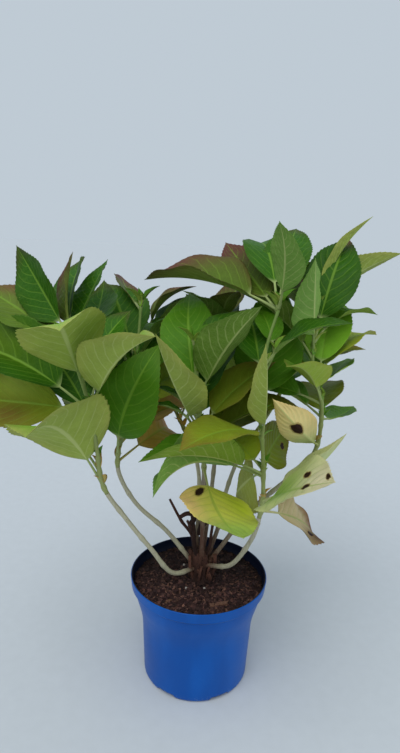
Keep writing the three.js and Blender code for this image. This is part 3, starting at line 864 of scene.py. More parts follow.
CANES = (
    Cane(
        "left_front", 11, 299,
        Route((
            (-6, 2, 158), (-36, -25, 168), (-63, -45, 216), (-91, -55, 260), (-117, -65, 308),
            (-122, -75, 359), (-127, -80, 405), (-137, -80, 447), (-148, -75, 483),
        )),
        (
            LeafRow(483, 79, 35, 140, 0.01, -35, 20, Look.DEEP, 0.26),
            LeafRow(483, 151, 20, 140, -0.01, -25, 16, Look.DARK, 0.3, (
                Mark(0.5, 0.0, 80, 60, "5f7426"), Mark(0.6, 0.95, 50, 12, "6b4a30"),
            )),
            LeafRow(483, 94, 33, 150, 0.06, -45, 25, Look.DARK, 0.27),
            LeafRow(483, 141, 46, 130, -0.01, -85, 25, Look.DARK, 0.3),
            LeafRow(483, 98, 54, 110, 0.05, -70, 21, Look.BRONZE, 0.26),
            LeafRow(483, 85, 21, 150, -0.1, -20, 16, Look.DARK, 0.29),
            LeafRow(414, -87, 37, 170, 0.24, 20, 11, Look.PALE),
            LeafRow(407, 169, 0, 150, 0.08, -65, 37, Look.OLIVE, marks=(
                Mark(0.35, 0.5, 30, 18, "8d9a34"), Mark(0.45, -0.5, 26, 18, "6b5a22"),
            )),
            LeafRow(405, -50, 40, 160, 0.1, 0, 36, Look.PALE, 0.3),
            LeafRow(405, 162, 18, 185, 0.18, -35, 39, Look.DEEP, marks=(
                Mark(0.6, 0.3, 50, 30, "4d6a0a"),
            )),
            LeafRow(307, -108, 38, 180, 0.22, 30, 20, Look.PALE, 0.39),
        ),
        Fill(8, 325, 450, (40, 190)), 1,
    ),
    Cane(
        "left_back", 23, 314,
        Route((
            (-7, 8, 160), (-20, 9, 177), (-47, 5, 214), (-85, -5, 256), (-106, -15, 302), (-106, -20, 338),
            (-97, -15, 376), (-90, -5, 424), (-85, 5, 472), (-83, 15, 512),
        )),
        (
            LeafRow(507, 108, 12, 145, -0.02, 35, 15, Look.BRONZE, 0.24),
            LeafRow(445, 115, 35, 145, 0.1, -10, 12, Look.DARK),
            LeafRow(333, -3, 70, 150, 0.23, 75, 11, Look.MID),
            LeafRow(321, 69, -3, 150, 0.22, 40, 16, Look.AMBER, marks=(
                Mark(0.4, 0.2, 30, 20, "a8a040"), Mark(0.75, -0.1, 26, 18, "cf8f4a"),
            )),
        ),
        Fill(12, 335, 468, (20, 220)), 1,
    ),
    Cane(
        "centre", 37, 317,
        Route(((3, 3, 172), (2, -10, 268), (0, -30, 333), (-8, -50, 393), (-13, -60, 450), (-16, -60, 480))),
        (
            LeafRow(435, 103, 32, 110, 0.11, -35, 15, Look.MID, 0.28),
            LeafRow(416, -52, 51, 150, 0.06, -10, 29, Look.DEEP, 0.27),
            LeafRow(410, 100, 54, 145, 0.19, -20, 13, Look.MID, 0.28),
            LeafRow(377, -118, 52, 160, -0.03, -25, 31, Look.PALE, 0.28),
            LeafRow(322, -77, 0, 172, -0.09, -15, 6, Look.GOLD, marks=(
                Mark(0.13, 0.5, 9.5, 4.4), Mark(0.36, 0.85, 44, 17, "edc47c"),
                Mark(0.3, -0.75, 44, 20, "a9b52c"), Mark(0.8, -0.2, 34, 30, "8fac46"),
            )),
        ),
        Fill(12, 325, 455, (-20, 220)), 2,
    ),
    Cane(
        "right_front", 41, 268,
        Route((
            (10, 1, 164), (42, -20, 180), (64, -40, 230), (71, -50, 268), (73, -55, 294),
            (70, -60, 335), (66, -65, 370), (59, -65, 422), (63, -60, 478), (74, -50, 520),
        )),
        (
            LeafRow(520, -101, 45, 125, 0.09, -30, 12, Look.SOFT, 0.21),
            LeafRow(518, 97, 28, 145, 0.2, -5, 20, Look.DARK, 0.27),
            LeafRow(518, 75, 38, 145, 0.1, 0, 14, Look.DARK, 0.24),
            LeafRow(520, 153, 7, 175, 0.09, -10, 30, Look.BRONZE),
            LeafRow(518, 118, 30, 140, 0, -25, 15, Look.BRONZE, 0.29),
            LeafRow(402, 79, 47, 200, -0.1, 8, 7, Look.MID, 0.27),
            LeafRow(375, -100, 62, 138, -0.02, 75, 39, Look.PALE, 0.2),
            LeafRow(335, 68, 11, 120, -0.06, 65, 10, Look.OLIVE, marks=(Mark(0.6, 0.5, 5, 4),)),
            LeafRow(335, 114, 8, 110, 0.03, -20, 12, Look.LIME),
            LeafRow(335, 100, -38, 150, -0.05, 85, 18, Look.LIME),
            LeafRow(329, -154, 14, 160, 0.09, 15, 34, Look.MID),
            LeafRow(326, -145, 4, 150, 0.24, 60, 37, Look.SOFT),
            LeafRow(292, -72, 32, 175, 0.02, 35, 13, Look.FADED, marks=(
                Mark(0.5, -0.42, 7.5, 4), Mark(0.6, 0.0, 7, 4.2), Mark(0.86, -0.6, 5, 3),
                Mark(0.12, 0.0, 46, 32, "84a63c"), Mark(0.78, -0.3, 42, 26, "d6cba6"),
            )),
            LeafRow(287, 28, 32, 143, -0.06, -32, 30, Look.FADED, 0.27),
            LeafRow(278, 45, -34, 155, 0.09, 35, 11, Look.TAN, marks=(
                Mark(0.56, 0.7, 30, 18, "55301f"), Mark(0.95, 0.0, 34, 34, "6a3c26"),
                Mark(0.45, 0.55, 6, 4.5),
            )),
        ),
        Fill(10, 340, 492, (10, 180)), 1,
    ),
    Cane(
        "right", 59, 312,
        Route((
            (10, 6, 160), (29, 13, 186), (62, 26, 230), (104, 32, 272), (134, 26, 304), (147, 16, 338),
            (148, 10, 372), (145, 4, 398), (138, 2, 420), (128, 2, 450), (128, 6, 480), (132, 12, 517),
        )),
        (
            LeafRow(508, 28, 60, 134, 0.11, -45, 35, Look.PALE, 0.13),
            LeafRow(486, 25, 39, 155, 0.16, -60, 21, Look.PALE, 0.22),
            LeafRow(472, 57, 58, 150, 0.18, 15, 11, Look.DEEP, 0.27, (
                Mark(0.95, 0.1, 14, 12, "5a2a2c"),
            )),
            LeafRow(468, -106, 51, 140, 0, 60, 24, Look.SOFT, 0.25),
            LeafRow(424, 70, 45, 140, 0.15, 0, 12, Look.FRESH, 0.27),
            LeafRow(424, 60, 7, 122, -0.02, -25, 13, Look.FRESH, 0.3),
            LeafRow(404, -125, 30, 122, 0.13, 6, 20, Look.BRIGHT, 0.28),
            LeafRow(400, 165, 5, 140, 0.1, -20, 20, Look.MID, 0.28),
            LeafRow(380, 57, -6, 130, -0.05, 0, 25, Look.MID, 0.22),
            LeafRow(342, -128, 35, 152, -0.1, 52, 26, Look.CREAM, 0.2, (
                Mark(0.5, 0.08, 12, 6.5), Mark(0.12, 0.4, 30, 20, "b4bf78"),
            )),
        ),
        Fill(14, 350, 505, (75, 190)), 1,
    ),
    Cane(
        "back_left", 67, 330,
        Route((
            (-3, 14, 160), (-5, 27, 200), (-2, 36, 240), (-10, 55, 300), (-42, 85, 360), (-72, 104, 420),
            (-85, 110, 462),
        )),
        (),
        Fill(18, 334, 460, (0, 360)), 2,
    ),
    Cane(
        "back_centre", 73, 320,
        Route((
            (3, 14, 164), (9, 34, 210), (14, 50, 260), (20, 85, 340), (22, 105, 400), (20, 112, 445),
            (18, 114, 476),
        )),
        (),
        Fill(20, 324, 474, (0, 360)), 2,
    ),
    Cane(
        "back_right", 89, 330,
        Route((
            (10, 14, 168), (25, 32, 206), (30, 40, 240), (50, 60, 300), (95, 85, 370), (125, 100, 440),
            (132, 105, 505),
        )),
        (),
        Fill(20, 334, 502, (0, 360)), 2,
    ),
)

CANE_RADIUS = (3.2, 2.2)
STEM_TIP = 1.6
STALK_SHARE = 0.2
OUTLINE_A = 0.75
OUTLINE_B = 1.2
WIDEST = OUTLINE_A / (OUTLINE_A + OUTLINE_B)
OUTLINE_TOP = WIDEST**OUTLINE_A * (1 - WIDEST) ** OUTLINE_B


def half_width(widest: float | Array, blade: Array) -> Array:
    """Gives half a blade's width at shares q of it: widest q^a (1 - q)^b over that curve's own top."""
    inside = np.clip(blade, 0, 1)
    return widest * inside**OUTLINE_A * (1 - inside) ** OUTLINE_B / OUTLINE_TOP


class Leaf:
    """A leaf's place and shape: a stalk, and a blade folded along its midrib and bowed along its length."""

    SAMPLE_ROWS = 10
    SAMPLE_COLUMNS = (-1, -0.5, 0, 0.5, 1)
    EDGE_MARGIN = 5
    BEYOND = 0.04

    def __init__(self, root: Array, shape: tuple, width: float = 0.32) -> None:
        """Works out the leaf's own three directions.

        Args:
            root: The joint on the stem, in millimetres.
            shape: Heading, rise, length, bow, turn and fold.
            width: Half the blade's width as a share of the blade's length.
        """
        heading, rise, length, bow, turn, fold = shape
        self.root, self.length, self.bow = root, length, bow
        self.fold = math.radians(fold)
        self.width = width * length * (1 - STALK_SHARE)
        self.along = pointing(heading, rise)
        up = unit(np.array([0.0, 0.0, 1.0]) - self.along * self.along[2])
        side = np.cross(self.along, up)
        cos, sin = math.cos(math.radians(turn)), math.sin(math.radians(turn))
        self.up = up * cos + side * sin
        self.side = side * cos - up * sin

    def midrib(self, share: Array) -> Array:
        """Gives root + length (s along + 4 bow s (1 - s) up)."""
        share = np.asarray(share)[..., None]
        return self.root + self.length * (self.along * share + self.up * 4 * self.bow * share * (1 - share))

    def normal(self, share: Array) -> Array:
        """Gives the blade's upward direction, up - 4 bow (1 - 2s) along, at length 1."""
        share = np.asarray(share)[..., None]
        return unit(self.up - self.along * 4 * self.bow * (1 - 2 * share))

    def half_width(self, blade: Array) -> Array:
        """Gives half the blade's width at shares of it."""
        return half_width(self.width, blade)

    def samples(self) -> Array:
        """Gives points in rows and columns over the blade, for the test of what it clears.

        Returns:
            One row of x, y and z for each point.
        """
        rows = np.arange(self.SAMPLE_ROWS + 1) / self.SAMPLE_ROWS
        blade, column = np.meshgrid(rows, self.SAMPLE_COLUMNS, indexing="ij")
        whole = STALK_SHARE + (1 - STALK_SHARE) * blade
        reach = self.half_width(blade)[..., None]
        column = column[..., None]
        points = self.midrib(whole) + self.side * column * reach * math.cos(self.fold)
        return (points + self.normal(whole) * np.abs(column) * reach * math.sin(self.fold)).reshape(-1, 3)


class Crown:
    """Every leaf and stem that has its place, with the test that keeps a new leaf clear of them."""

    LEAF_CLEAR = 4
    STEM_CLEAR = 6
    STEM_STEP = 8
    TURNS = (0, 18, -18, 36, -36, 54, -54)
    LIFTS = (0, 14, -14)

    def __init__(self) -> None:
        """Starts an empty crown."""
        self.leaves: list[Leaf] = []
        self.points: list[Array] = []
        self.stems: list[Array] = []

    def add_stem(self, route: Route) -> None:
        """Keeps points along a stem, about every eight millimetres."""
        count = math.floor(route.length() / self.STEM_STEP + 0.5)
        self.stems.append(route.at(np.arange(count + 1) / count))

    def add(self, leaf: Leaf) -> None:
        """Keeps a leaf and its sample points."""
        self.leaves.append(leaf)
        self.points.append(leaf.samples())

    @staticmethod
    def heights(leaves: list[Leaf], points: Array) -> tuple[Array, Array]:
        """Measures how far points lie above blades: the way up less the blade's own bow and fold there.

        Args:
            leaves: The leaves whose blades are tested.
            points: Points to test, as one set for all leaves or one set for each.

        Returns:
            The heights, and whether each point is over the blade, both as leaves by points.
        """
        def stack(name: str) -> Array:
            """Gives one value of every leaf, in rows."""
            return np.array([getattr(leaf, name) for leaf in leaves])

        apart = points - stack("root")[:, None]
        length, fold = stack("length")[:, None], stack("fold")[:, None]
        share = np.einsum("ijk,ik->ij", apart, stack("along")) / length
        across = np.abs(np.einsum("ijk,ik->ij", apart, stack("side")))
        blade = (share - STALK_SHARE) / (1 - STALK_SHARE)
        reach = half_width(stack("width")[:, None], blade)
        over = (blade >= -Leaf.BEYOND) & (blade <= 1 + Leaf.BEYOND)
        over &= across <= reach * np.cos(fold) + Leaf.EDGE_MARGIN
        surface = length * 4 * stack("bow")[:, None] * share * (1 - share) + across * np.tan(fold)
        return np.einsum("ijk,ik->ij", apart, stack("up")) - surface, over

    @staticmethod
    def all_clear(height: Array, over: Array, clearance: float) -> bool:
        """Tells whether each set of points keeps to one side of its blade, at least a clearance away.

        Args:
            height: How far each point lies above its blade.
            over: Whether it is over the blade.
            clearance: The least distance, in millimetres.

        Returns:
            True where all of them keep clear.
        """
        near = over & (np.abs(height) < clearance)
        above = (over & (height > 0)).any(axis=1)
        below = (over & (height <= 0)).any(axis=1)
        return not near.any() and not (above & below).any()

    def line_is_clear(self, line: Array) -> bool:
        """Tells whether a twig's points keep clear of every leaf."""
        return self.all_clear(*self.heights(self.leaves, line[None]), self.LEAF_CLEAR)

    def is_clear(self, leaf: Leaf) -> bool:
        """Tells whether a leaf is clear of all stems and leaves, and they of it.

        Args:
            leaf: The leaf to try.

        Returns:
            True where it is clear.
        """
        for stem in self.stems:
            if not self.all_clear(*self.heights([leaf], stem[None]), self.STEM_CLEAR):
                return False
        height, over = self.heights([leaf], np.concatenate(self.points)[None])
        shape = (len(self.leaves), -1)
        if not self.all_clear(height.reshape(shape), over.reshape(shape), self.LEAF_CLEAR):
            return False
        return self.all_clear(*self.heights(self.leaves, leaf.samples()[None]), self.LEAF_CLEAR)

    def settle(self, root: Array, shape: tuple) -> Leaf | None:
        """Turns and lifts a leaf step by step until it is clear.

        Args:
            root: The joint on the stem.
            shape: Heading, rise, length, bow, turn and fold.

        Returns:
            The leaf in its place, or None where no turn clears it.
        """
        heading, rise, *rest = shape
        for lift in self.LIFTS:
            for turn in self.TURNS:
                leaf = Leaf(root, (heading + turn, rise + lift, *rest))
                if self.is_clear(leaf):
                    self.add(leaf)
                    return leaf
        return None


class Growth:
    """Deals out the leaves and twigs of every shoot by the source's rule."""

    RISE = (5, 44)
    LENGTH = (150, 92)
    TURN = 18
    BOW = (0.08, 0.2)
    FOLD = (10, 26)
    SPREAD = 137.5
    HEIGHT_WANDER = 5
    RISE_WANDER = 8
    LENGTH_WANDER = (0.9, 1.1)
    TWIG_LENGTH = (26, 48)
    TWIG_RISE = 58
    TWIG_PLACE = (0.15, 0.7)
    TWIG_SAMPLES = 5
    TWIG_LEAF = (46, 72)
    TWIG_LEAF_SHAPE = (0.1, 0, 18)
    TWIG_LEAF_RISE = 38
    TWIG_LEAF_HEADINGS = (-70, 70, 5)
    COLOUR_SEED = 131
    LOOK_WANDER = 0.15
    LOOKS = (
        (0.2, (Look.LIME, Look.AMBER, Look.OLIVE, Look.LIME)),
        (0.45, (Look.OLIVE, Look.OLIVE, Look.LIME, Look.MID)),
        (0.75, (Look.MID, Look.DARK, Look.MID, Look.DEEP)),
        (math.inf, (Look.DARK, Look.BRONZE, Look.DEEP, Look.MID)),
    )
    TWIG_LOOKS = (Look.MID, Look.DEEP, Look.DARK)

    def __init__(self, canes: tuple[Cane, ...]) -> None:
        """Places every leaf of every cane.

        Args:
            canes: The canes, each with its route and its own leaves.
        """
        self.crown = Crown()
        self.colours = Seeded(self.COLOUR_SEED)
        for cane in canes:
            self.crown.add_stem(cane.route)
        for cane in canes:
            for row in cane.rows:
                shape = (row.heading, row.rise, row.length, row.bow, row.turn, row.fold)
                leaf = Leaf(cane.route.at_height(row.height), shape, row.width)
                self.crown.add(leaf)
                cane.leaves.append((leaf, row.look, row.marks))
        for cane in canes:
            draw = Seeded(cane.seed)
            self.fill(cane, draw)
            self.twigs(cane, draw)
            log.info("%s: %d leaves, %d twigs", cane.name, len(cane.leaves), len(cane.twig_lines))

    def look_at(self, root: Array, low: float, high: float) -> Look:
        """Picks a leaf's look by its height on the shoot: low ones yellowing, high ones deep or bronze.

        Args:
            root: The leaf's joint.
            low: The height where the dealt leaves start.
            high: The height where they end.

        Returns:
            The look.
        """
        share = (root[2] - low) / (high - low) + self.colours.between(-self.LOOK_WANDER, self.LOOK_WANDER)
        return self.colours.pick(next(looks for below, looks in self.LOOKS if share < below))

    def fill(self, cane: Cane, draw: Seeded) -> None:
        """Deals out leaves along a shoot, low ones long and level, high ones short and steep.

        Args:
            cane: The cane whose shoot it is.
            draw: The cane's own draw.
        """
        fill = cane.fill
        first, last = fill.headings
        heading = mix(first, last, draw.next())
        for index in range(fill.count):
            share = (index + 0.5) / fill.count
            height = mix(fill.low, fill.high, share) + draw.between(-self.HEIGHT_WANDER, self.HEIGHT_WANDER)
            root = cane.route.at_height(height)
            heading = first + ((heading - first + self.SPREAD) % (last - first))
            rise = mix(*self.RISE, share) + draw.between(-self.RISE_WANDER, self.RISE_WANDER)
            length = mix(*self.LENGTH, share) * draw.between(*self.LENGTH_WANDER)
            bow = draw.between(*self.BOW)
            turn = draw.between(-self.TURN, self.TURN)
            fold = draw.between(*self.FOLD)
            leaf = self.crown.settle(root, (heading, rise, length, bow, turn, fold))
            if leaf:
                cane.leaves.append((leaf, self.look_at(root, fill.low, fill.high), ()))

    def twigs(self, cane: Cane, draw: Seeded) -> None:
        """Sets small twigs along a shoot, each with up to three young leaves at its tip.

        Args:
            cane: The cane whose shoot they are on.
            draw: The cane's own draw.
        """
        fill = cane.fill
        for _ in range(cane.twigs):
            root = cane.route.at_height(mix(fill.low, fill.high, draw.between(*self.TWIG_PLACE)))
            heading = mix(*fill.headings, draw.next())
            tip = root + draw.between(*self.TWIG_LENGTH) * pointing(heading, self.TWIG_RISE)
            steps = (np.arange(self.TWIG_SAMPLES) + 1)[:, None] / self.TWIG_SAMPLES
            if not self.crown.line_is_clear(root + (tip - root) * steps):
                continue
            kept = False
            for spread in self.TWIG_LEAF_HEADINGS:
                size = draw.between(*self.TWIG_LEAF)
                shape = (heading + spread, self.TWIG_LEAF_RISE, size, *self.TWIG_LEAF_SHAPE)
                leaf = self.crown.settle(tip, shape)
                if leaf:
                    kept = True
                    cane.leaves.append((leaf, self.colours.pick(self.TWIG_LOOKS), ()))
            if kept:
                cane.twig_lines.append((root, tip))


# Leaves in full


@dataclass(frozen=True)
class BladeBuilder:
    """Works out a leaf's whole surface: stalk, toothed margin, midrib, side veins and waves."""

    teeth: int = 22
    tooth_depth: float = 0.032
    tooth_lean: float = 0.008
    tooth_crest: float = 0.66
    tooth_edge: int = 8
    tooth_start: Pair = (0.05, 0.2)
    tooth_end: Pair = (0.99, 0.9)
    rings_per_tooth: int = 3
    columns: tuple[float, ...] = (0.05, 0.18, 0.38, 0.6, 0.82, 0.97, 1.0)
    marked_columns: int = 18
    stalk_rings: int = 6
    stalk_radius: Triple = (1.8, 1.2, 0.25)
    blade_from: float = 6.0
    half_thickness: float = 0.4
    fold_round: float = 0.03
    wave: float = 0.06
    wave_count: float = 2.3
    wave_shift: float = 0.21
    quilt: float = 0.9
    furrow_phase: float = 0.25
    furrow_width: float = 0.16
    furrow_fade: Pair = (1.0, 0.8)
    rib_clear: float = 3.0
    rib_height: float = 1.1
    rib_width: float = 1.8
    rib_above: float = 0.25
    tip_spread: float = 0.12
    tip_below: float = 0.6
    lightness: Pair = (0.86, 1.14)
    stalk_fade: Pair = (0.05, -0.01)
    spot_core: float = 1.25
    spot_fade: float = 0.7
    finish: LeafSkin = LeafSkin()

    def skin(self, leaf: Leaf, look: Look, marks: tuple[Mark, ...], draw: Seeded) -> Skin:
        """Builds one leaf as rings along it, over its upper face and back under its lower one.

        A point is midrib(s) + side (v W cos fold) + normal (|v| W sin fold + wave - furrow + face), where W
        is the half-width with its teeth, and face is half the thickness, up on the upper face.

        Args:
            leaf: The leaf's place and shape.
            look: Its colours.
            marks: Its dry spots and patches of colour; a marked leaf has finer columns.
            draw: The draw for its waves and its lightness.

        Returns:
            The closed leaf with its tone, its map, its faces' side and its spots.
        """
        tint: LeafTint = look.value
        v, way = self.places_across(bool(marks))
        share = self.shares_along()
        q = (share - STALK_SHARE) / (1 - STALK_SHARE)
        side = np.abs(v)
        tooth = self.tooth(q, side)
        radius = np.interp(share, [0, STALK_SHARE, 1], self.stalk_radius)
        blade = leaf.half_width(q)
        is_blade = smooth(0.0, self.blade_from, blade)
        across = v * np.hypot(blade, radius)
        lift = (np.hypot(side, self.fold_round) - self.fold_round) * blade * math.sin(leaf.fold)
        turns_along = self.wave_count * q + draw.next() + self.wave_shift * np.sign(v)
        ripple = np.sin(2 * np.pi * turns_along) * side**2
        lift = lift + self.wave * tint.curl * blade * ripple
        lift = lift - self.quilt * self.furrow(q, side, across) * is_blade
        rounded = np.sqrt(np.clip(1 - side**2, 0, 1))
        face = (1 - is_blade) * radius * rounded + is_blade * self.half_thickness * rounded
        rib = is_blade * radius * self.rib_height * np.exp(-((across / self.rib_width) ** 2))
        offset = lift + way * face - np.where(way < 0, rib, self.rib_above * rib)
        place = share + self.tooth_lean * tooth
        across = across * (1 + self.tooth_depth * tooth) * np.where(q > 0, math.cos(leaf.fold), 1.0)
        points = leaf.midrib(place) + leaf.side * across[..., None] + leaf.normal(place) * offset[..., None]
        tone, spot = self.marked(leaf, marks, self.tone(tint, q, v, way, draw), q, v)
        plan = np.stack([np.broadcast_to(0.5 + v / 2, spot.shape), np.broadcast_to(q, spot.shape)], axis=-1)
        upper = np.broadcast_to(0.5 + way / 2, spot.shape)
        return Skin.closed_loft(points, {"tone": tone, "plan": plan, "upper": upper, "spot": spot})

    def places_across(self, fine: bool) -> tuple[Array, Array]:
        """Gives the places round a ring: from edge to edge over the upper face, then back under it.

        Args:
            fine: Whether the columns are even and many, as small marks need.

        Returns:
            Each place from -1 to 1, and 1 on the upper face, -1 on the lower and 0 on the rim.
        """
        columns = np.array(self.columns)
        if fine:
            columns = np.append(np.linspace(0, 1, self.marked_columns + 1)[1:-1], self.columns[-2:])
        half = np.concatenate([-columns[::-1], [0.0], columns])
        v = np.concatenate([half, half[-2:0:-1]])[None, :]
        way = np.concatenate([[0.0], np.ones(len(half) - 2), [0.0], -np.ones(len(half) - 2)])[None, :]
        return v, way

    def shares_along(self) -> Array:
        """Gives the shares of the leaf's length where rings stand: few on the stalk, then evenly per tooth.

        Returns:
            The shares from 0 to 1, one row for each ring.
        """
        count = self.rings_per_tooth * self.teeth
        stations = np.arange(count + 1) / count
        stalk = np.linspace(0, STALK_SHARE, self.stalk_rings, endpoint=False)
        return np.concatenate([stalk, STALK_SHARE + (1 - STALK_SHARE) * stations])[:, None]

    def tooth(self, q: Array, side: Array) -> Array:
        """Gives the teeth: a saw wave along q, only near the edge and fading at the blade's two ends.

        Args:
            q: Share of the blade, one row for each ring.
            side: Place across from the midrib, 0 to 1.

        Returns:
            How far out each point is drawn, 0 to 1.
        """
        beat = (q * self.teeth) % 1
        rising = beat / self.tooth_crest
        falling = (1 - beat) / (1 - self.tooth_crest)
        saw = np.where(beat < self.tooth_crest, rising, falling)
        return saw * smooth(*self.tooth_start, q) * smooth(*self.tooth_end, q) * side**self.tooth_edge

    def furrow(self, q: Array, side: Array, across: Array) -> Array:
        """Gives the furrows over the side veins, none on the midrib and none at the edge.

        Args:
            q: Share of the blade, one row for each ring.
            side: Place across from the midrib, 0 to 1.
            across: The same place in millimetres.

        Returns:
            The depth of the furrow at each point, 0 to 1.
        """
        start = q - self.finish.slant * side - self.finish.sweep * side**2
        apart = np.abs((start * self.finish.veins + self.furrow_phase) % 1 - 0.5)
        band = np.exp(-((apart / self.furrow_width) ** 2))
        off_rib = 1 - np.exp(-((across / self.rib_clear) ** 2))
        return band * off_rib * smooth(*self.furrow_fade, side)

    def tone(self, tint: LeafTint, q: Array, v: Array, way: Array, draw: Seeded) -> Array:
        """Works out each point's own colour: the face's, then the edge's, the tip's and the stalk's.

        Args:
            tint: The leaf's colours.
            q: Share of the blade, one row for each ring.
            v: Place across, -1 to 1, one column for each place around.
            way: 1 on the upper face, -1 on the lower and 0 on the rim between them.
            draw: The draw for how light the leaf is.

        Returns:
            Red, green, blue and 1 for each point.
        """
        shape = np.broadcast_shapes(q.shape, v.shape)
        face = (0.5 + way / 2)[..., None] * np.ones((*shape, 1))
        colour = linear(tint.lower) + (linear(tint.upper) - linear(tint.lower)) * face
        edge = (tint.edge_strength * np.abs(v) ** 3 * np.ones(shape))[..., None]
        colour = colour + (linear(tint.edge) - colour) * edge
        tip = smooth(tint.tip_from, 1.0, q + self.tip_spread * np.abs(v))
        tip = tip * np.where(way > 0, 1.0, self.tip_below) * tint.tip_strength
        colour = colour + (linear(tint.tip) - colour) * tip[..., None]
        colour = colour * draw.between(*self.lightness)
        stalk = (smooth(*self.stalk_fade, q) * np.ones(shape))[..., None]
        colour = colour + (linear(tint.stalk) - colour) * stalk
        return np.concatenate([colour, np.ones((*shape, 1))], axis=-1)

    def marked(
        self,
        leaf: Leaf,
        marks: tuple[Mark, ...],
        tone: Array,
        q: Array,
        v: Array,
    ) -> tuple[Array, Array]:
        """Blends the patches of colour into a leaf's tone and works out its dry spots.

        Args:
            leaf: The leaf that carries the marks.
            marks: Its marks; one that names a colour is a soft patch, and the others are dry spots.
            tone: Each point's colour.
            q: Share of the blade, one row for each ring.
            v: Place across, -1 to 1, one column for each place around.

        Returns:
            The tone with its patches, and how dry each point is, 0 to 1.
        """
        blade = leaf.half_width(q)
        spot = np.zeros(tone.shape[:2])
        for mark in marks:
            ahead = (q - mark.along) * leaf.length * (1 - STALK_SHARE) / mark.long
            gap = np.hypot(ahead, (v - mark.across) * blade / mark.wide)
            if mark.colour:
                patch = np.exp(-(gap**2))[..., None] * (q > 0)[..., None]
                tone[..., :3] += (linear(mark.colour) - tone[..., :3]) * patch
            else:
                spot = np.maximum(spot, np.clip(self.spot_core - self.spot_fade * gap, 0, 1))
        return tone, spot


# The plant's pieces


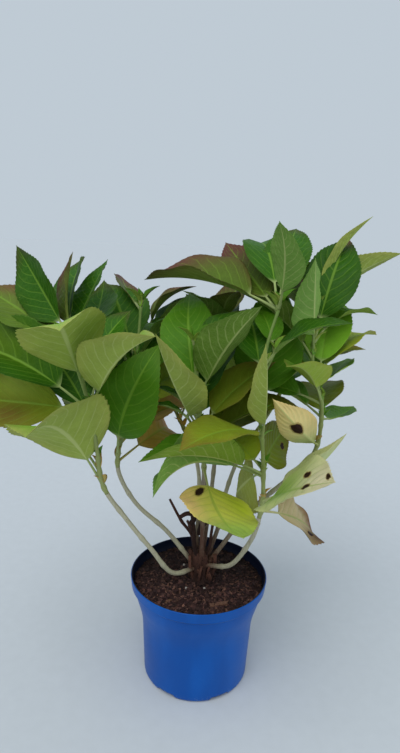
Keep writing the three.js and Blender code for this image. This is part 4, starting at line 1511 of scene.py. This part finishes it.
@dataclass
class Foliage:
    """All the leafy shoots: leaves, stems, twigs, buds and young leaves."""

    canes: tuple[Cane, ...]
    builder: BladeBuilder = BladeBuilder()
    leaf_seed: int = 500
    young: tuple[Triple, ...] = ((15, 42, 34), (195, 44, 31), (105, 66, 22), (285, 62, 19))
    young_wander: float = 40.0
    young_bow: float = 0.12
    young_fold: float = 30.0
    young_width: float = 0.2
    sprout_seed: int = 900
    sprout_builder: BladeBuilder = BladeBuilder(
        teeth=4, columns=(0.5, 1.0), stalk_rings=3, stalk_radius=(0.9, 0.6, 0.2), half_thickness=0.3,
        quilt=0.2,
    )
    sprout_heading: Pair = (30, 74)
    sprout_rise: Pair = (46, 76)
    sprout_length: Pair = (11, 25)
    sprout_bow: float = 0.15
    sprout_fold: float = 26.0
    sprout_width: float = 0.24
    withered_below: float = 36.0
    stem_finish: Bark = Bark("shoot_bark", "a3a46a", "6b8a3a", "6d5238", 0.1, 0.6, 0.0003)
    stem_sides: int = 12
    stem_step: float = 3.0
    fewest_rings: int = 8
    stem_age: Pair = (0.75, 0.1)
    joint_swell: float = 0.35
    joint_reach: float = 4.0
    twig_radius: Pair = (1.9, 1.4)
    twig_rings: int = 10
    twig_age: float = 0.2
    bud_length: float = 9.0
    side_bud: float = 0.7
    side_bud_lift: float = 1.2
    bud_width: float = 0.27
    bud_core: float = 0.15
    bud_span: Pair = (0.02, 0.98)
    bud_rings: int = 9
    bud_sides: int = 8
    bud_age: Pair = (0.5, 0.0)

    def build(self) -> None:
        """Builds one piece of leaves and one of stems for each cane."""
        leaf_material = self.builder.finish.material()
        stem_material = self.stem_finish.material()
        for cane in self.canes:
            draw = Seeded(cane.seed + self.leaf_seed)
            skins = [self.builder.skin(leaf, look, marks, draw) for leaf, look, marks in cane.leaves]
            skins += self.young_leaves(cane, draw)
            skins += self.sprouts(cane)
            node = f"foliage_{cane.name}"
            Skin.joined(skins).make(f"leaves_{cane.name}", leaf_material, "leaf", (node,))
            self.stems(cane).make(f"stems_{cane.name}", stem_material, "leaf", (node,))

    def young_leaves(self, cane: Cane, draw: Seeded) -> list[Skin]:
        """Builds the young leaves that stand round a shoot's tip.

        Args:
            cane: The cane whose shoot it is.
            draw: The draw for their headings and waves.

        Returns:
            One skin for each young leaf.
        """
        tip = cane.route.at(1.0)[0]
        skins = []
        for heading, rise, length in self.young:
            towards = heading + self.young_wander * draw.next()
            leaf = Leaf(tip, (towards, rise, length, self.young_bow, 0, self.young_fold), self.young_width)
            skins.append(self.builder.skin(leaf, Look.MID, (), draw))
        return skins

    def sprouts(self, cane: Cane) -> list[Skin]:
        """Builds the small young leaves that open in pairs in the leaf joints.

        Args:
            cane: The cane whose shoot they are on.

        Returns:
            One skin for each small leaf.
        """
        draw = Seeded(cane.seed + self.sprout_seed)
        skins = []
        for leaf, _, _ in cane.leaves:
            heading = math.degrees(math.atan2(leaf.along[1], leaf.along[0]))
            for side in (-1, 1):
                towards = heading + side * draw.between(*self.sprout_heading)
                rise = draw.between(*self.sprout_rise)
                length = draw.between(*self.sprout_length)
                shape = (towards, rise, length, self.sprout_bow, 0, self.sprout_fold)
                fresh = draw.pick((Look.SOFT, Look.PALE, Look.MID))
                look = Look.AMBER if leaf.root[2] < cane.leafy_from + self.withered_below else fresh
                sprout = Leaf(leaf.root, shape, self.sprout_width)
                skins.append(self.sprout_builder.skin(sprout, look, (), draw))
        return skins

    def stems(self, cane: Cane) -> Skin:
        """Builds a shoot's stem, swollen at each joint, with its twigs and the buds in the leaf joints.

        Args:
            cane: The cane whose shoot it is.

        Returns:
            The stems and buds as one skin.
        """
        split = cane.route.share_at_height(cane.leafy_from)
        length = cane.route.length() * (1 - split)
        shares = np.linspace(split, 1, max(self.fewest_rings, int(length / self.stem_step)))
        centres = cane.route.at(shares)
        radii = np.interp(shares, [split, 1], [mix(*CANE_RADIUS, split), STEM_TIP])
        joints = np.array([leaf.root for leaf, _, _ in cane.leaves])
        near = np.linalg.norm(centres[:, None] - joints[None], axis=2).min(axis=1)
        radii = radii * (1 + self.joint_swell * np.exp(-((near / self.joint_reach) ** 2)))
        age = np.linspace(*self.stem_age, len(shares))
        skins = [tube(cane.route, shares, radii, self.stem_sides, {"age": age})]
        twig_steps = np.linspace(0, 1, self.twig_rings)
        twig_radii = np.linspace(*self.twig_radius, self.twig_rings)
        twig_age = np.full(self.twig_rings, self.twig_age)
        for root, end in cane.twig_lines:
            skins.append(tube(Route((root, end)), twig_steps, twig_radii, self.stem_sides, {"age": twig_age}))
        for leaf, _, _ in cane.leaves:
            way = leaf.along + leaf.up * self.side_bud_lift
            skins.append(self.bud(leaf.root, way, self.bud_length * self.side_bud))
        skins.append(self.bud(cane.route.at(1.0)[0], cane.route.tangents(1.0)[0], self.bud_length))
        return Skin.joined(skins)

    def bud(self, root: Array, way: Array, length: float) -> Skin:
        """Builds a pointed bud, its radius a core and then width length sin(pi t)^0.8 (1 - 0.5 t).

        Args:
            root: Where it sits.
            way: Which way it points.
            length: Its length in millimetres.

        Returns:
            The closed bud.
        """
        line = Route((root, root + unit(way) * length))
        steps = np.linspace(*self.bud_span, self.bud_rings)
        radii = length * self.bud_width * np.sin(np.pi * steps) ** 0.8 * (1 - 0.5 * steps) + self.bud_core
        return tube(line, steps, radii, self.bud_sides, {"age": np.linspace(*self.bud_age, self.bud_rings)})


@dataclass
class Canes:
    """The bare lower canes: pale speckled bark with swollen joints, older and darker at the foot."""

    canes: tuple[Cane, ...]
    sides: int = 24
    step: float = 1.6
    joint_gap: float = 46.0
    joint_shift: float = 0.3
    swell: float = 0.2
    joint_reach: float = 3.4
    ridges: Wave = Wave(0.0225, 5, 1 / 23)
    fine_ridges: Wave = Wave(0.0135, 9, -1 / 11)
    old_wood: dict[str, float] = field(default_factory=lambda: {
        "left_front": 30, "left_back": 60, "centre": 170, "right_front": 35, "right": 110,
        "back_left": 150, "back_centre": 170, "back_right": 130,
    })
    oldest: float = 1.15
    age_range: Pair = (0.12, 1.0)
    finish: Bark = Bark("cane_bark", "5a3d30", "bab699", "6e4d34", 0.14, 0.72, 0.0005)

    def build(self) -> None:
        """Builds one piece of bark for each cane, in place of its CAD node.

        The radius is the cane's own, times a swelling at each joint and 1 + ridges + fine ridges, which
        twist slowly along the cane.
        """
        material = self.finish.material()
        angle = turns(self.sides)
        for number, cane in enumerate(self.canes):
            split = cane.route.share_at_height(cane.leafy_from)
            length = cane.route.length() * split
            count = int(length / self.step)
            shares = np.linspace(0, split, count)
            walked = np.linspace(0, length, count)
            radii = np.interp(shares, [0, 1], CANE_RADIUS)
            apart = np.abs((walked / self.joint_gap + self.joint_shift * number) % 1 - 0.5) * self.joint_gap
            radii = radii * (1 + self.swell * np.exp(-((apart / self.joint_reach) ** 2)))
            ridges = self.ridges.at(angle, walked[:, None])
            fine_ridges = self.fine_ridges.at(angle, walked[:, None], number)
            radii = radii[:, None] * (1 + ridges + fine_ridges)
            age = np.clip(self.oldest - walked / self.old_wood[cane.name], *self.age_range)
            skin = tube(cane.route, shares, radii, self.sides, {"age": age})
            skin.make(f"bark_{cane.name}", material, "cane_bark", (f"cane_{cane.name}",))


@dataclass(frozen=True)
class DeadStick:
    """A dead stick: a ridged, crooked tube with one knot, whose broken end is torn."""

    sides: int = 18
    step: float = 1.5
    fewest_rings: int = 12
    ridges: Wave = Wave(0.09, 4, 3)
    fine_ridges: Wave = Wave(0.07, 7, -9)
    ridge_shift: Pair = (0, 6)
    knot: float = 0.22
    knot_reach: float = 0.06
    knot_between: Pair = (0.3, 0.7)
    tear: Wave = Wave(0.5, 3)
    fine_tear: Wave = Wave(0.3, 8)
    age: Pair = (1.0, 0.4)
    age_wander: Pair = (-0.4, 0.25)

    def skin(self, route: Route, radius: float, taper: float, draw: Seeded) -> Skin:
        """Builds the stick, its radius multiplied by 1 + ridges + fine ridges + knot.

        Args:
            route: The line of the stick.
            radius: Its radius at its foot, in millimetres.
            taper: Its radius at the broken end as a share of that.
            draw: The draw for its ridges, its knot and its age.

        Returns:
            The closed stick.
        """
        count = max(self.fewest_rings, int(route.length() / self.step))
        share = np.linspace(0, 1, count)
        angle = turns(self.sides)
        size = radius * np.interp(share, [0, 1], [1, taper])
        shift = draw.between(*self.ridge_shift)
        ridges = self.ridges.at(angle, share[:, None], shift) + self.fine_ridges.at(angle, share[:, None])
        from_knot = (share - draw.between(*self.knot_between)) / self.knot_reach
        knots = self.knot * np.exp(-(from_knot**2))
        radii = size[:, None] * (1 + ridges + knots[:, None])
        age = np.linspace(*self.age, count) + draw.between(*self.age_wander)
        skin = tube(route, share, radii, self.sides, {"age": age})
        end = np.arange((count - 1) * self.sides, count * self.sides)
        ragged = self.tear.at(angle[0], shift=shift) + self.fine_tear.at(angle[0])
        skin.points[end] += route.tangents(1.0) * (ragged * radius)[:, None]
        return skin


@dataclass
class Stool:
    """The short woody stump that the canes start from, with the stubs of old stems around it."""

    foot: float = 143.3
    top: float = 182.0
    flare: tuple[Pair, ...] = ((0, 19), (0.12, 14.5), (0.45, 12.0), (0.8, 10.5), (1, 7))
    lean: tuple[Pair, ...] = ((4, 6), (2, 7), (0, 8))
    sides: int = 72
    rings: int = 48
    ridges: tuple[Wave, ...] = (Wave(0.10, 3, 4), Wave(0.09, 7, -9), Wave(0.05, 17, 11), Wave(0.03, 29, -31))
    uneven_top: Wave = Wave(0.6, 5)
    age_fall: float = 0.5
    seed: int = 211
    stubs: int = 22
    stub_wander: float = 0.25
    stub_rise: Pair = (8.0, 46.0)
    stub_reach: Pair = (8.0, 17.0)
    stub_lean: float = 5.0
    stub_inward: Pair = (-3, 4)
    stub_bend: Pair = (-2, 3)
    stub_radius: Pair = (1.5, 3.2)
    stub_taper: Pair = (0.7, 1.1)
    stick: DeadStick = DeadStick()
    finish: Bark = Bark("old_bark", "2a1712", "684335", "140a08", 0.2, 0.9, 0.0018)

    def build(self) -> None:
        """Builds the stump and its stubs as one piece, in place of the CAD node."""
        draw = Seeded(self.seed)
        skins = [self.stump()] + [self.stub(number, draw) for number in range(self.stubs)]
        Skin.joined(skins).make("stool_bark", self.finish.material(), "old_bark", ("stool",))

    def stump(self) -> Skin:
        """Builds the stump: rings along a leaning curve, their radius the flare times 1 + ridges.

        Returns:
            The closed stump.
        """
        share = np.linspace(0, 1, self.rings)[:, None]
        angle = turns(self.sides)
        radius = np.interp(share, *np.array(self.flare).T)
        radius = radius * (1 + sum(wave.at(angle, share) for wave in self.ridges))
        start, middle, end = np.array(self.lean, float)
        centre = (1 - share) ** 2 * start + 2 * share * (1 - share) * middle + share**2 * end
        x = centre[:, :1] + radius * np.cos(angle)
        y = centre[:, 1:] + radius * np.sin(angle)
        height = self.foot + (self.top - self.foot) * share + self.uneven_top.at(angle) * share
        rings = np.stack([x, y, height], axis=-1)
        age = np.broadcast_to(1 - self.age_fall * share, rings.shape[:2])
        return Skin.closed_loft(rings, {"age": age})

    def stub(self, number: int, draw: Seeded) -> Skin:
        """Builds the broken foot of one old stem beside the stump.

        Args:
            number: Which of the stubs it is, counted round the stump.
            draw: The draw for its place and shape.

        Returns:
            The closed stub.
        """
        heading = 2 * math.pi * number / self.stubs + draw.between(-self.stub_wander, self.stub_wander)
        out = np.array([math.cos(heading), math.sin(heading), 0])
        base = np.array([*self.lean[0], self.foot]) + out * draw.between(*self.stub_reach)
        aside = [draw.between(-self.stub_lean, self.stub_lean) for _ in range(2)]
        end = base + np.array([*aside, draw.between(*self.stub_rise)]) - out * draw.between(*self.stub_inward)
        bend = (base + end) / 2 + out * draw.between(*self.stub_bend)
        radius = draw.between(*self.stub_radius)
        return self.stick.skin(Route((base, bend, end)), radius, draw.between(*self.stub_taper), draw)


@dataclass
class DeadSticks:
    """The dead sticks that still stand in the stool, with the withered ends that hang from them."""

    sticks: tuple = (
        ("dead_stick_left", 2.4, ((-6, 11, 176), (-12, 13, 204), (-27, 15, 224), (-43, 20, 252))),
        ("dead_stick_upright", 3.0, ((-3, 3, 174), (-8, 4, 196), (-9, 5, 218), (-13, 4, 243))),
        ("dead_stub", 2.6, ((8, 8, 176), (14, 9, 192), (15, 10, 209), (17, 10, 228))),
    )
    scraps: tuple = (
        ("dead_stick_upright", 3.6, (
            (-13, 4, 226), (-9, 3, 234), (-11, 3, 240), (-19, 3, 241), (-27, 3, 236),
        )),
        ("dead_stick_upright", 2.6, ((-12, 4, 239), (-6, 4, 241), (-2, 4, 239))),
        ("dead_stick_upright", 2.6, ((-12, 4, 214), (-15, 3, 224), (-18, 3, 230))),
        ("dead_stub", 2.8, ((-2, 7, 208), (-1, 6, 218), (2, 6, 228), (7, 6, 224))),
        ("dead_stub", 2.2, ((9, 10, 227), (15, 10, 230), (21, 10, 228), (25, 10, 231))),
    )
    taper: float = 0.7
    seed: int = 307
    stick: DeadStick = DeadStick()
    finish: Bark = Bark("dead_wood", "27150f", "4d3026", "120a08", 0.2, 0.9, 0.0010)

    def build(self) -> None:
        """Builds each stick with its scraps, in place of its CAD node."""
        material = self.finish.material()
        draw = Seeded(self.seed)
        for name, radius, points in self.sticks:
            lines = [(radius, points)] + [(size, line) for owner, size, line in self.scraps if owner == name]
            skins = [self.stick.skin(Route(line), size, self.taper, draw) for size, line in lines]
            Skin.joined(skins).make(f"{name}_bark", material, "dead_wood", (name,))


@dataclass
class Pot:
    """The round nursery pot: a drawn-in wall, a flare, a banded lip, notches in the foot and a liner."""

    outline: tuple[Pair, ...] = (
        (73.6, 5), (74, 20), (75.2, 50), (76.2, 80), (77.2, 91), (78.8, 100), (81.2, 110), (84.2, 120),
        (86.2, 130), (87, 136), (90.6, 139.6), (91.8, 140.8), (93.0, 153.9),
    )
    bands: tuple[tuple[float, float, int], ...] = ((5, 135.4, 54), (136, 140.8, 6), (141.4, 153.9, 10))
    ease_weights: tuple[float, ...] = (0.1, 0.2, 0.4, 0.2, 0.1)
    eased_between: Pair = (7, 134)
    wall: float = 2.2
    floor: float = 8.0
    foot_round: float = 5.0
    foot_steps: int = 5
    lip_rise: float = 1.1
    lip_steps: int = 9
    liner_from: int = 3
    inside_top: float = 150.0
    inside_rings: int = 24
    middle_gap: float = 2.0
    flat_ring: float = 30.0
    floor_reach: float = 70.0
    under_reach: float = 62.0
    notches: int = 6
    notch_first: float = -62.0
    notch_width: float = 28.0
    notch_height: float = 6.0
    notch_inner: float = 61.9
    notch_step: float = 0.4
    notch_blur: float = 0.02
    segments: int = 288
    finish: PotPlastic = PotPlastic()

    def profile(self) -> tuple[Array, Array]:
        """Gives radius and height along the profile, from under the foot, up, over the lip and down inside.

        Returns:
            The profile's points, and 1 where the liner starts or 0 before it.
        """
        radii, heights = np.array(self.outline).T
        z = np.concatenate([np.linspace(*band) for band in self.bands])
        wall = np.interp(z, heights, radii)
        reach = len(self.ease_weights) // 2
        eased = np.convolve(np.pad(wall, reach, mode="edge"), self.ease_weights, mode="valid")
        low, high = self.eased_between
        wall = np.where((z > low) & (z < high), eased, wall)
        turn = np.linspace(-np.pi / 2, 0, self.foot_steps + 1)[:-1]
        foot_radius = wall[0] - self.foot_round + self.foot_round * np.cos(turn)
        foot = np.stack([foot_radius, self.foot_round * (1 + np.sin(turn))], axis=1)
        before_notch = self.notch_inner - self.notch_step
        under_radii = (self.middle_gap, self.flat_ring, before_notch, self.notch_inner, self.under_reach)
        under = np.array([(radius, 0) for radius in under_radii])
        arch = np.linspace(0, np.pi, self.lip_steps)[1:]
        half = self.wall / 2
        lip_radius = wall[-1] - half + half * np.cos(arch)
        crown = np.stack([lip_radius, heights[-1] + self.lip_rise * np.sin(arch)], axis=1)
        inside_z = np.linspace(self.inside_top, self.floor + 1, self.inside_rings)
        inside = np.stack([np.interp(inside_z, z, wall) - self.wall, inside_z], axis=1)
        floor_radii = (self.floor_reach, self.flat_ring, self.middle_gap)
        base = np.array([(radius, self.floor) for radius in floor_radii])
        outer = np.vstack([under, foot, np.stack([wall, z], axis=1)])
        inner = np.vstack([crown, inside, base])
        blue, black = len(outer) + self.liner_from, len(inner) - self.liner_from
        return np.vstack([outer, inner]), np.concatenate([np.zeros(blue), np.ones(black)])

    def build(self) -> None:
        """Turns the profile about Z, lifts the foot's edge at each notch, and makes the piece."""
        profile, liner = self.profile()
        angle = turns(self.segments)
        pitch = 2 * np.pi / self.notches
        apart = (angle - math.radians(self.notch_first) + pitch / 2) % pitch - pitch / 2
        half = self.notch_width / 2 / self.outline[0][0]
        lift = self.notch_height * smooth(half + self.notch_blur, half - self.notch_blur, np.abs(apart))
        radius = profile[:, :1]
        height = np.repeat(profile[:, 1:], self.segments, axis=1)
        outside = (liner[:, None] == 0) & (radius >= self.notch_inner)
        height = np.where(outside, np.maximum(height, lift), height)
        rings = np.stack([radius * np.cos(angle), radius * np.sin(angle), height], axis=-1)
        skin = Skin.closed_loft(rings, {"liner": np.repeat(liner[:, None], self.segments, axis=1)})
        skin.make("pot_shell", self.finish.material(), "pot_plastic", ("pot",))


CHIP_CORNERS = np.array([
    (-1, -1, -1), (1, -1, -1), (1, 1, -1), (-1, 1, -1),
    (-1, -1, 1), (1, -1, 1), (1, 1, 1), (-1, 1, 1),
], float) / 2
CHIP_FACES = np.array([(0, 3, 2, 1), (4, 5, 6, 7), (0, 1, 5, 4), (1, 2, 6, 5), (2, 3, 7, 6), (3, 0, 4, 7)])


@dataclass
class Soil:
    """Peat filled to just under the rim: a rough bed, loose bark chips over it and a few pale grains."""

    top: float = 143.0
    reach: float = 88.6
    side: tuple[Pair, ...] = (
        (70.8, 8.3), (71.4, 20), (72.6, 50), (73.6, 80), (76.0, 100), (81.4, 120), (84.4, 136), (88.2, 140.4),
    )
    bed_rings: int = 60
    bed_sides: int = 180
    ring_bias: float = 0.8
    middle_gap: float = 0.4
    bed_drop: float = 1.2
    wave_height: float = 0.9
    wave_lengths: Pair = (7.3, 6.1)
    wave_shift: float = 1.1
    small_waves: tuple[Triple, ...] = ((0.7, 3.1, 4.7), (0.5, 1.9, -2.3))
    wall_drop: float = 1.2
    wall_drop_between: Pair = (70, 88)
    # Painted shade and painted light on the peat: its colour falls to the lower share at the back and rises
    # to the higher share in front, over this reach either side of the middle.
    painted_shade_reach: float = 45.0
    painted_shade_to_light: Pair = (0.4, 1.2)
    browns: tuple[str, ...] = ("46302d", "331f1e", "523631", "5b3f38", "3c2726", "2a1a19", "6a4a3e")
    chips: int = 2400
    chip_seed: int = 29
    chip_reach: float = 86.0
    chip_wall: float = 88.2
    chip_inmost: float = 0.02
    chip_long: Pair = (2.4, 9.0)
    chip_cut: Pair = (0.5, 1.0)
    chip_wide: Pair = (1.4, 3.6)
    chip_thick: Pair = (0.6, 1.8)
    chip_uneven: float = 0.35
    chip_tilt: float = 0.4
    chip_roll: float = 0.35
    chip_lift: float = 0.5
    chip_tone: Pair = (0.5, 1.6)
    chip_tone_seed: int = 31
    large_chips: tuple = (
        ((28, -54), (20, 5.6, 2.4), "7e5a48"),
        ((-40, -52), (12, 4.4, 2.0), "6e4f38"),
    )
    large_tilt: float = 0.1
    grains: int = 5
    grain_seed: int = 83
    first_grains: tuple[Pair, ...] = ((-16, -22), (8, -23))
    grain_reach: Pair = (30, 80)
    grain_size: Pair = (0.9, 1.9)
    grain_lift: float = 0.8
    grain_rings: int = 6
    grain_sides: int = 8
    grain_cap: float = 0.96
    grain_uneven: Wave = Wave(0.12, 3, 1)
    grain_shade: str = "a59d96"
    finish: Peat = Peat()

    def relief(self, x: Array, y: Array) -> Array:
        """Gives the bed's height: three crossed waves, each finer than the last, lower towards the wall.

        Args:
            x: Places to the right of the pot's middle, in millimetres.
            y: Places behind it.

        Returns:
            The height above the pot's foot, in millimetres.
        """
        across, back = self.wave_lengths
        waves = np.sin(x / across + self.wave_shift) * np.sin(y / back)
        for height, across, back in self.small_waves:
            waves = waves + height * np.sin(x / across - y / back)
        drop = self.wall_drop * smooth(*self.wall_drop_between, np.hypot(x, y))
        return self.top - self.bed_drop + self.wave_height * waves - drop

    def shade(self, y: Array) -> Array:
        """Gives the share of its colour that peat keeps: painted shade darkens it at the back and painted
        light lifts it in front.
        """
        return mix(*self.painted_shade_to_light, smooth(self.painted_shade_reach, -self.painted_shade_reach, y))

    def build(self) -> None:
        """Builds the bed, the chips and the grains, in place of the CAD node."""
        material = self.finish.material()
        self.bed_skin().make("soil_bed", material, "peat", ("soil",))
        self.chip_skin().make("soil_chips", material, "peat", ("soil",), smooth_faces=False)
        pale = Plain("perlite", self.grain_shade).material()
        self.grain_skin().make("soil_grains", pale, "peat", ("soil",))

    def bed_skin(self) -> Skin:
        """Builds the bed: rings from the pot's floor up its wall, then over the rough top to the middle.

        Returns:
            The closed bed with its own brown.
        """
        angle = turns(self.bed_sides)
        steps = np.linspace(0, 1, self.bed_rings)[:, None] ** self.ring_bias
        radius = self.reach * (1 - steps) + self.middle_gap
        x, y = radius * np.cos(angle), radius * np.sin(angle)
        bed = np.stack([x, y, self.relief(x, y)], axis=-1)
        radius, height = np.array(self.side).T[..., None]
        side = np.stack([radius * np.cos(angle), radius * np.sin(angle), height + 0 * angle], axis=-1)
        rings = np.concatenate([side, bed])
        # Painted shade makes the bed's brown darker at the back, and painted light makes it lighter in front.
        shade = self.shade(rings[..., 1:2])
        tone = np.concatenate([shade * linear(self.browns[1]), np.ones_like(shade)], axis=-1)
        return Skin.closed_loft(rings, {"tone": tone})

    def chip_skin(self) -> Skin:
        """Scatters bark chips: flat eight-cornered slabs with uneven ends, each tilted on the bed.

        Returns:
            All chips as one skin, each with its own brown.
        """
        rng = np.random.default_rng(self.chip_seed)
        count = self.chips
        reach = self.chip_reach * np.sqrt(rng.uniform(self.chip_inmost, 1, count))
        heading = rng.uniform(0, 2 * np.pi, count)
        centre = np.stack([reach * np.cos(heading), reach * np.sin(heading)], axis=1)
        size = np.stack([
            rng.uniform(*self.chip_long, count) * rng.uniform(*self.chip_cut, count),
            rng.uniform(*self.chip_wide, count),
            rng.uniform(*self.chip_thick, count),
        ], axis=1)
        colours = np.array([linear(brown) for brown in self.browns])[rng.integers(0, len(self.browns), count)]
        own_tone = np.random.default_rng(self.chip_tone_seed).uniform(*self.chip_tone, (count, 1))
        # Painted shade darkens the chips at the back, and painted light lightens them in front.
        colours = colours * own_tone * self.shade(centre[:, 1:])
        uneven = 1 + rng.uniform(-self.chip_uneven, self.chip_uneven, (count, len(CHIP_CORNERS), 3))
        spin = rng.uniform(0, 2 * np.pi, count)
        tilt = rng.normal(0, self.chip_tilt, count)
        roll = rng.normal(0, self.chip_roll, count)
        for number, (place, sizes, brown) in enumerate(self.large_chips):
            centre[number], size[number], colours[number] = place, sizes, linear(brown)
            tilt[number] = roll[number] = self.large_tilt
        own = CHIP_CORNERS[None] * uneven * size[:, None]
        z, x = turned(own[..., 2], own[..., 0], tilt)
        y, z = turned(own[..., 1], z, roll)
        x, y = turned(x, y, spin)
        x, y = centre[:, :1] + x, centre[:, 1:] + y
        inward = np.minimum(1, self.chip_wall / np.hypot(x, y))
        level = self.relief(centre[:, 0], centre[:, 1])[:, None] + self.chip_lift
        points = np.stack([x * inward, y * inward, level + z], axis=-1).reshape(-1, 3)
        starts = len(CHIP_CORNERS) * np.arange(count)
        quads = (CHIP_FACES[None] + starts[:, None, None]).reshape(-1, 4)
        tone = np.concatenate([colours, np.ones((count, 1))], axis=1)
        tone = np.repeat(tone, len(CHIP_CORNERS), axis=0)
        return Skin(points, quads, np.zeros((0, 3), int), {"tone": tone})

    def grain_skin(self) -> Skin:
        """Scatters pale round grains, each a small uneven ball partly sunk in the bed.

        Returns:
            All grains as one skin.
        """
        draw = Seeded(self.grain_seed)
        lift = np.linspace(-self.grain_cap, self.grain_cap, self.grain_rings)[:, None]
        angle = turns(self.grain_sides)
        skins = []
        for number in range(self.grains):
            heading, reach = draw.between(0, 2 * math.pi), draw.between(*self.grain_reach)
            x, y = reach * math.cos(heading), reach * math.sin(heading)
            if number < len(self.first_grains):
                x, y = self.first_grains[number]
            size = draw.between(*self.grain_size)
            middle = float(self.relief(np.array(x), np.array(y))) + self.grain_lift
            radius = size * np.sqrt(1 - lift**2) * (1 + self.grain_uneven.at(angle, number))
            height = middle + size * lift + 0 * angle
            ring = np.stack([x + radius * np.cos(angle), y + radius * np.sin(angle), height], axis=-1)
            skins.append(Skin.closed_loft(ring))
        return Skin.joined(skins)


# The set


@dataclass
class Studio:
    """The pale floor, the soft lights and the camera at the photograph's angle."""

    place: Triple = (-0.0067, -0.6511, 0.5899)
    down: float = 17.72
    roll: float = 2.22
    focal_pixels: float = 545.5
    picture: tuple[int, int] = (400, 753)
    centre_row: float = 414.3
    floor_reach: float = 60.0
    floor_shade: str = "bfc4c8"
    sky: Triple = (0.79, 0.9, 1.0)
    sky_strength: float = 0.66
    sensor_height: float = 36.0
    nearest: float = 0.02
    lamps: tuple = (
        ("key", (-0.5, -0.9, 1.5), 50.0, 1.55),
        ("fill", (1.0, -0.6, 0.8), 90.0, 0.35),
    )

    def build(self) -> None:
        """Builds the floor, the lights and the camera."""
        self.floor()
        self.lights()
        self.camera()

    def floor(self) -> None:
        """Lays a wide flat floor under the pot."""
        reach = self.floor_reach
        mesh = bpy.data.meshes.new("floor")
        corners = [(-reach, -reach, 0), (reach, -reach, 0), (reach, reach, 0), (-reach, reach, 0)]
        mesh.from_pydata(corners, [], [(0, 1, 2, 3)])
        mesh.materials.append(Plain("floor_finish", self.floor_shade).material())
        piece = bpy.data.objects.new("floor", mesh)
        bpy.context.scene.collection.objects.link(piece)

    def lights(self) -> None:
        """Hangs soft lights so far off that they fall evenly on the whole floor, under a pale even sky."""
        world = bpy.data.worlds.new("studio")
        bpy.context.scene.world = world
        world.use_nodes = True
        sky = world.node_tree.nodes["Background"]
        sky.inputs["Color"].default_value = (*self.sky, 1)
        sky.inputs["Strength"].default_value = self.sky_strength
        for name, way, spread, strength in self.lamps:
            light = bpy.data.lights.new(name, "SUN")
            light.angle = math.radians(spread)
            light.energy = strength
            lamp = bpy.data.objects.new(name, light)
            aim = unit(np.array(way))
            across = unit(np.cross([0, 0, 1], aim))
            facing = np.stack([across, np.cross(aim, across), aim], axis=1)
            lamp.matrix_world = Matrix(facing.tolist()).to_4x4()
            bpy.context.scene.collection.objects.link(lamp)

    def camera(self) -> None:
        """Stands the camera at its place: level, turned down, then rolled about its own line of sight."""
        lens = bpy.data.cameras.new("camera")
        lens.sensor_fit = "VERTICAL"
        lens.sensor_height = self.sensor_height
        lens.lens = self.focal_pixels / self.picture[1] * self.sensor_height
        lens.shift_y = (self.centre_row - self.picture[1] / 2) / self.picture[1]
        lens.clip_start = self.nearest
        down, roll = math.radians(self.down), math.radians(self.roll)
        right = np.array([1.0, 0.0, 0.0])
        up = np.array([0.0, math.sin(down), math.cos(down)])
        ahead = np.array([0.0, math.cos(down), -math.sin(down)])
        rolled_right = right * math.cos(roll) + up * math.sin(roll)
        rolled_up = up * math.cos(roll) - right * math.sin(roll)
        facing = Matrix(np.stack([rolled_right, rolled_up, -ahead], axis=1).tolist())
        camera = bpy.data.objects.new("camera", lens)
        camera.matrix_world = Matrix.Translation(self.place) @ facing.to_4x4()
        bpy.context.scene.collection.objects.link(camera)
        bpy.context.scene.camera = camera
        bpy.context.scene.view_settings.view_transform = "Standard"


def main() -> None:
    """Builds the whole plant in its pot, in order."""
    logging.basicConfig(level=logging.INFO, format="%(name)s: %(message)s")
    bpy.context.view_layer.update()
    Growth(CANES)
    Pot().build()
    Soil().build()
    Stool().build()
    DeadSticks().build()
    Canes(CANES).build()
    Foliage(CANES).build()
    Studio().build()
    bpy.context.view_layer.update()


if __name__ == "__main__":
    main()
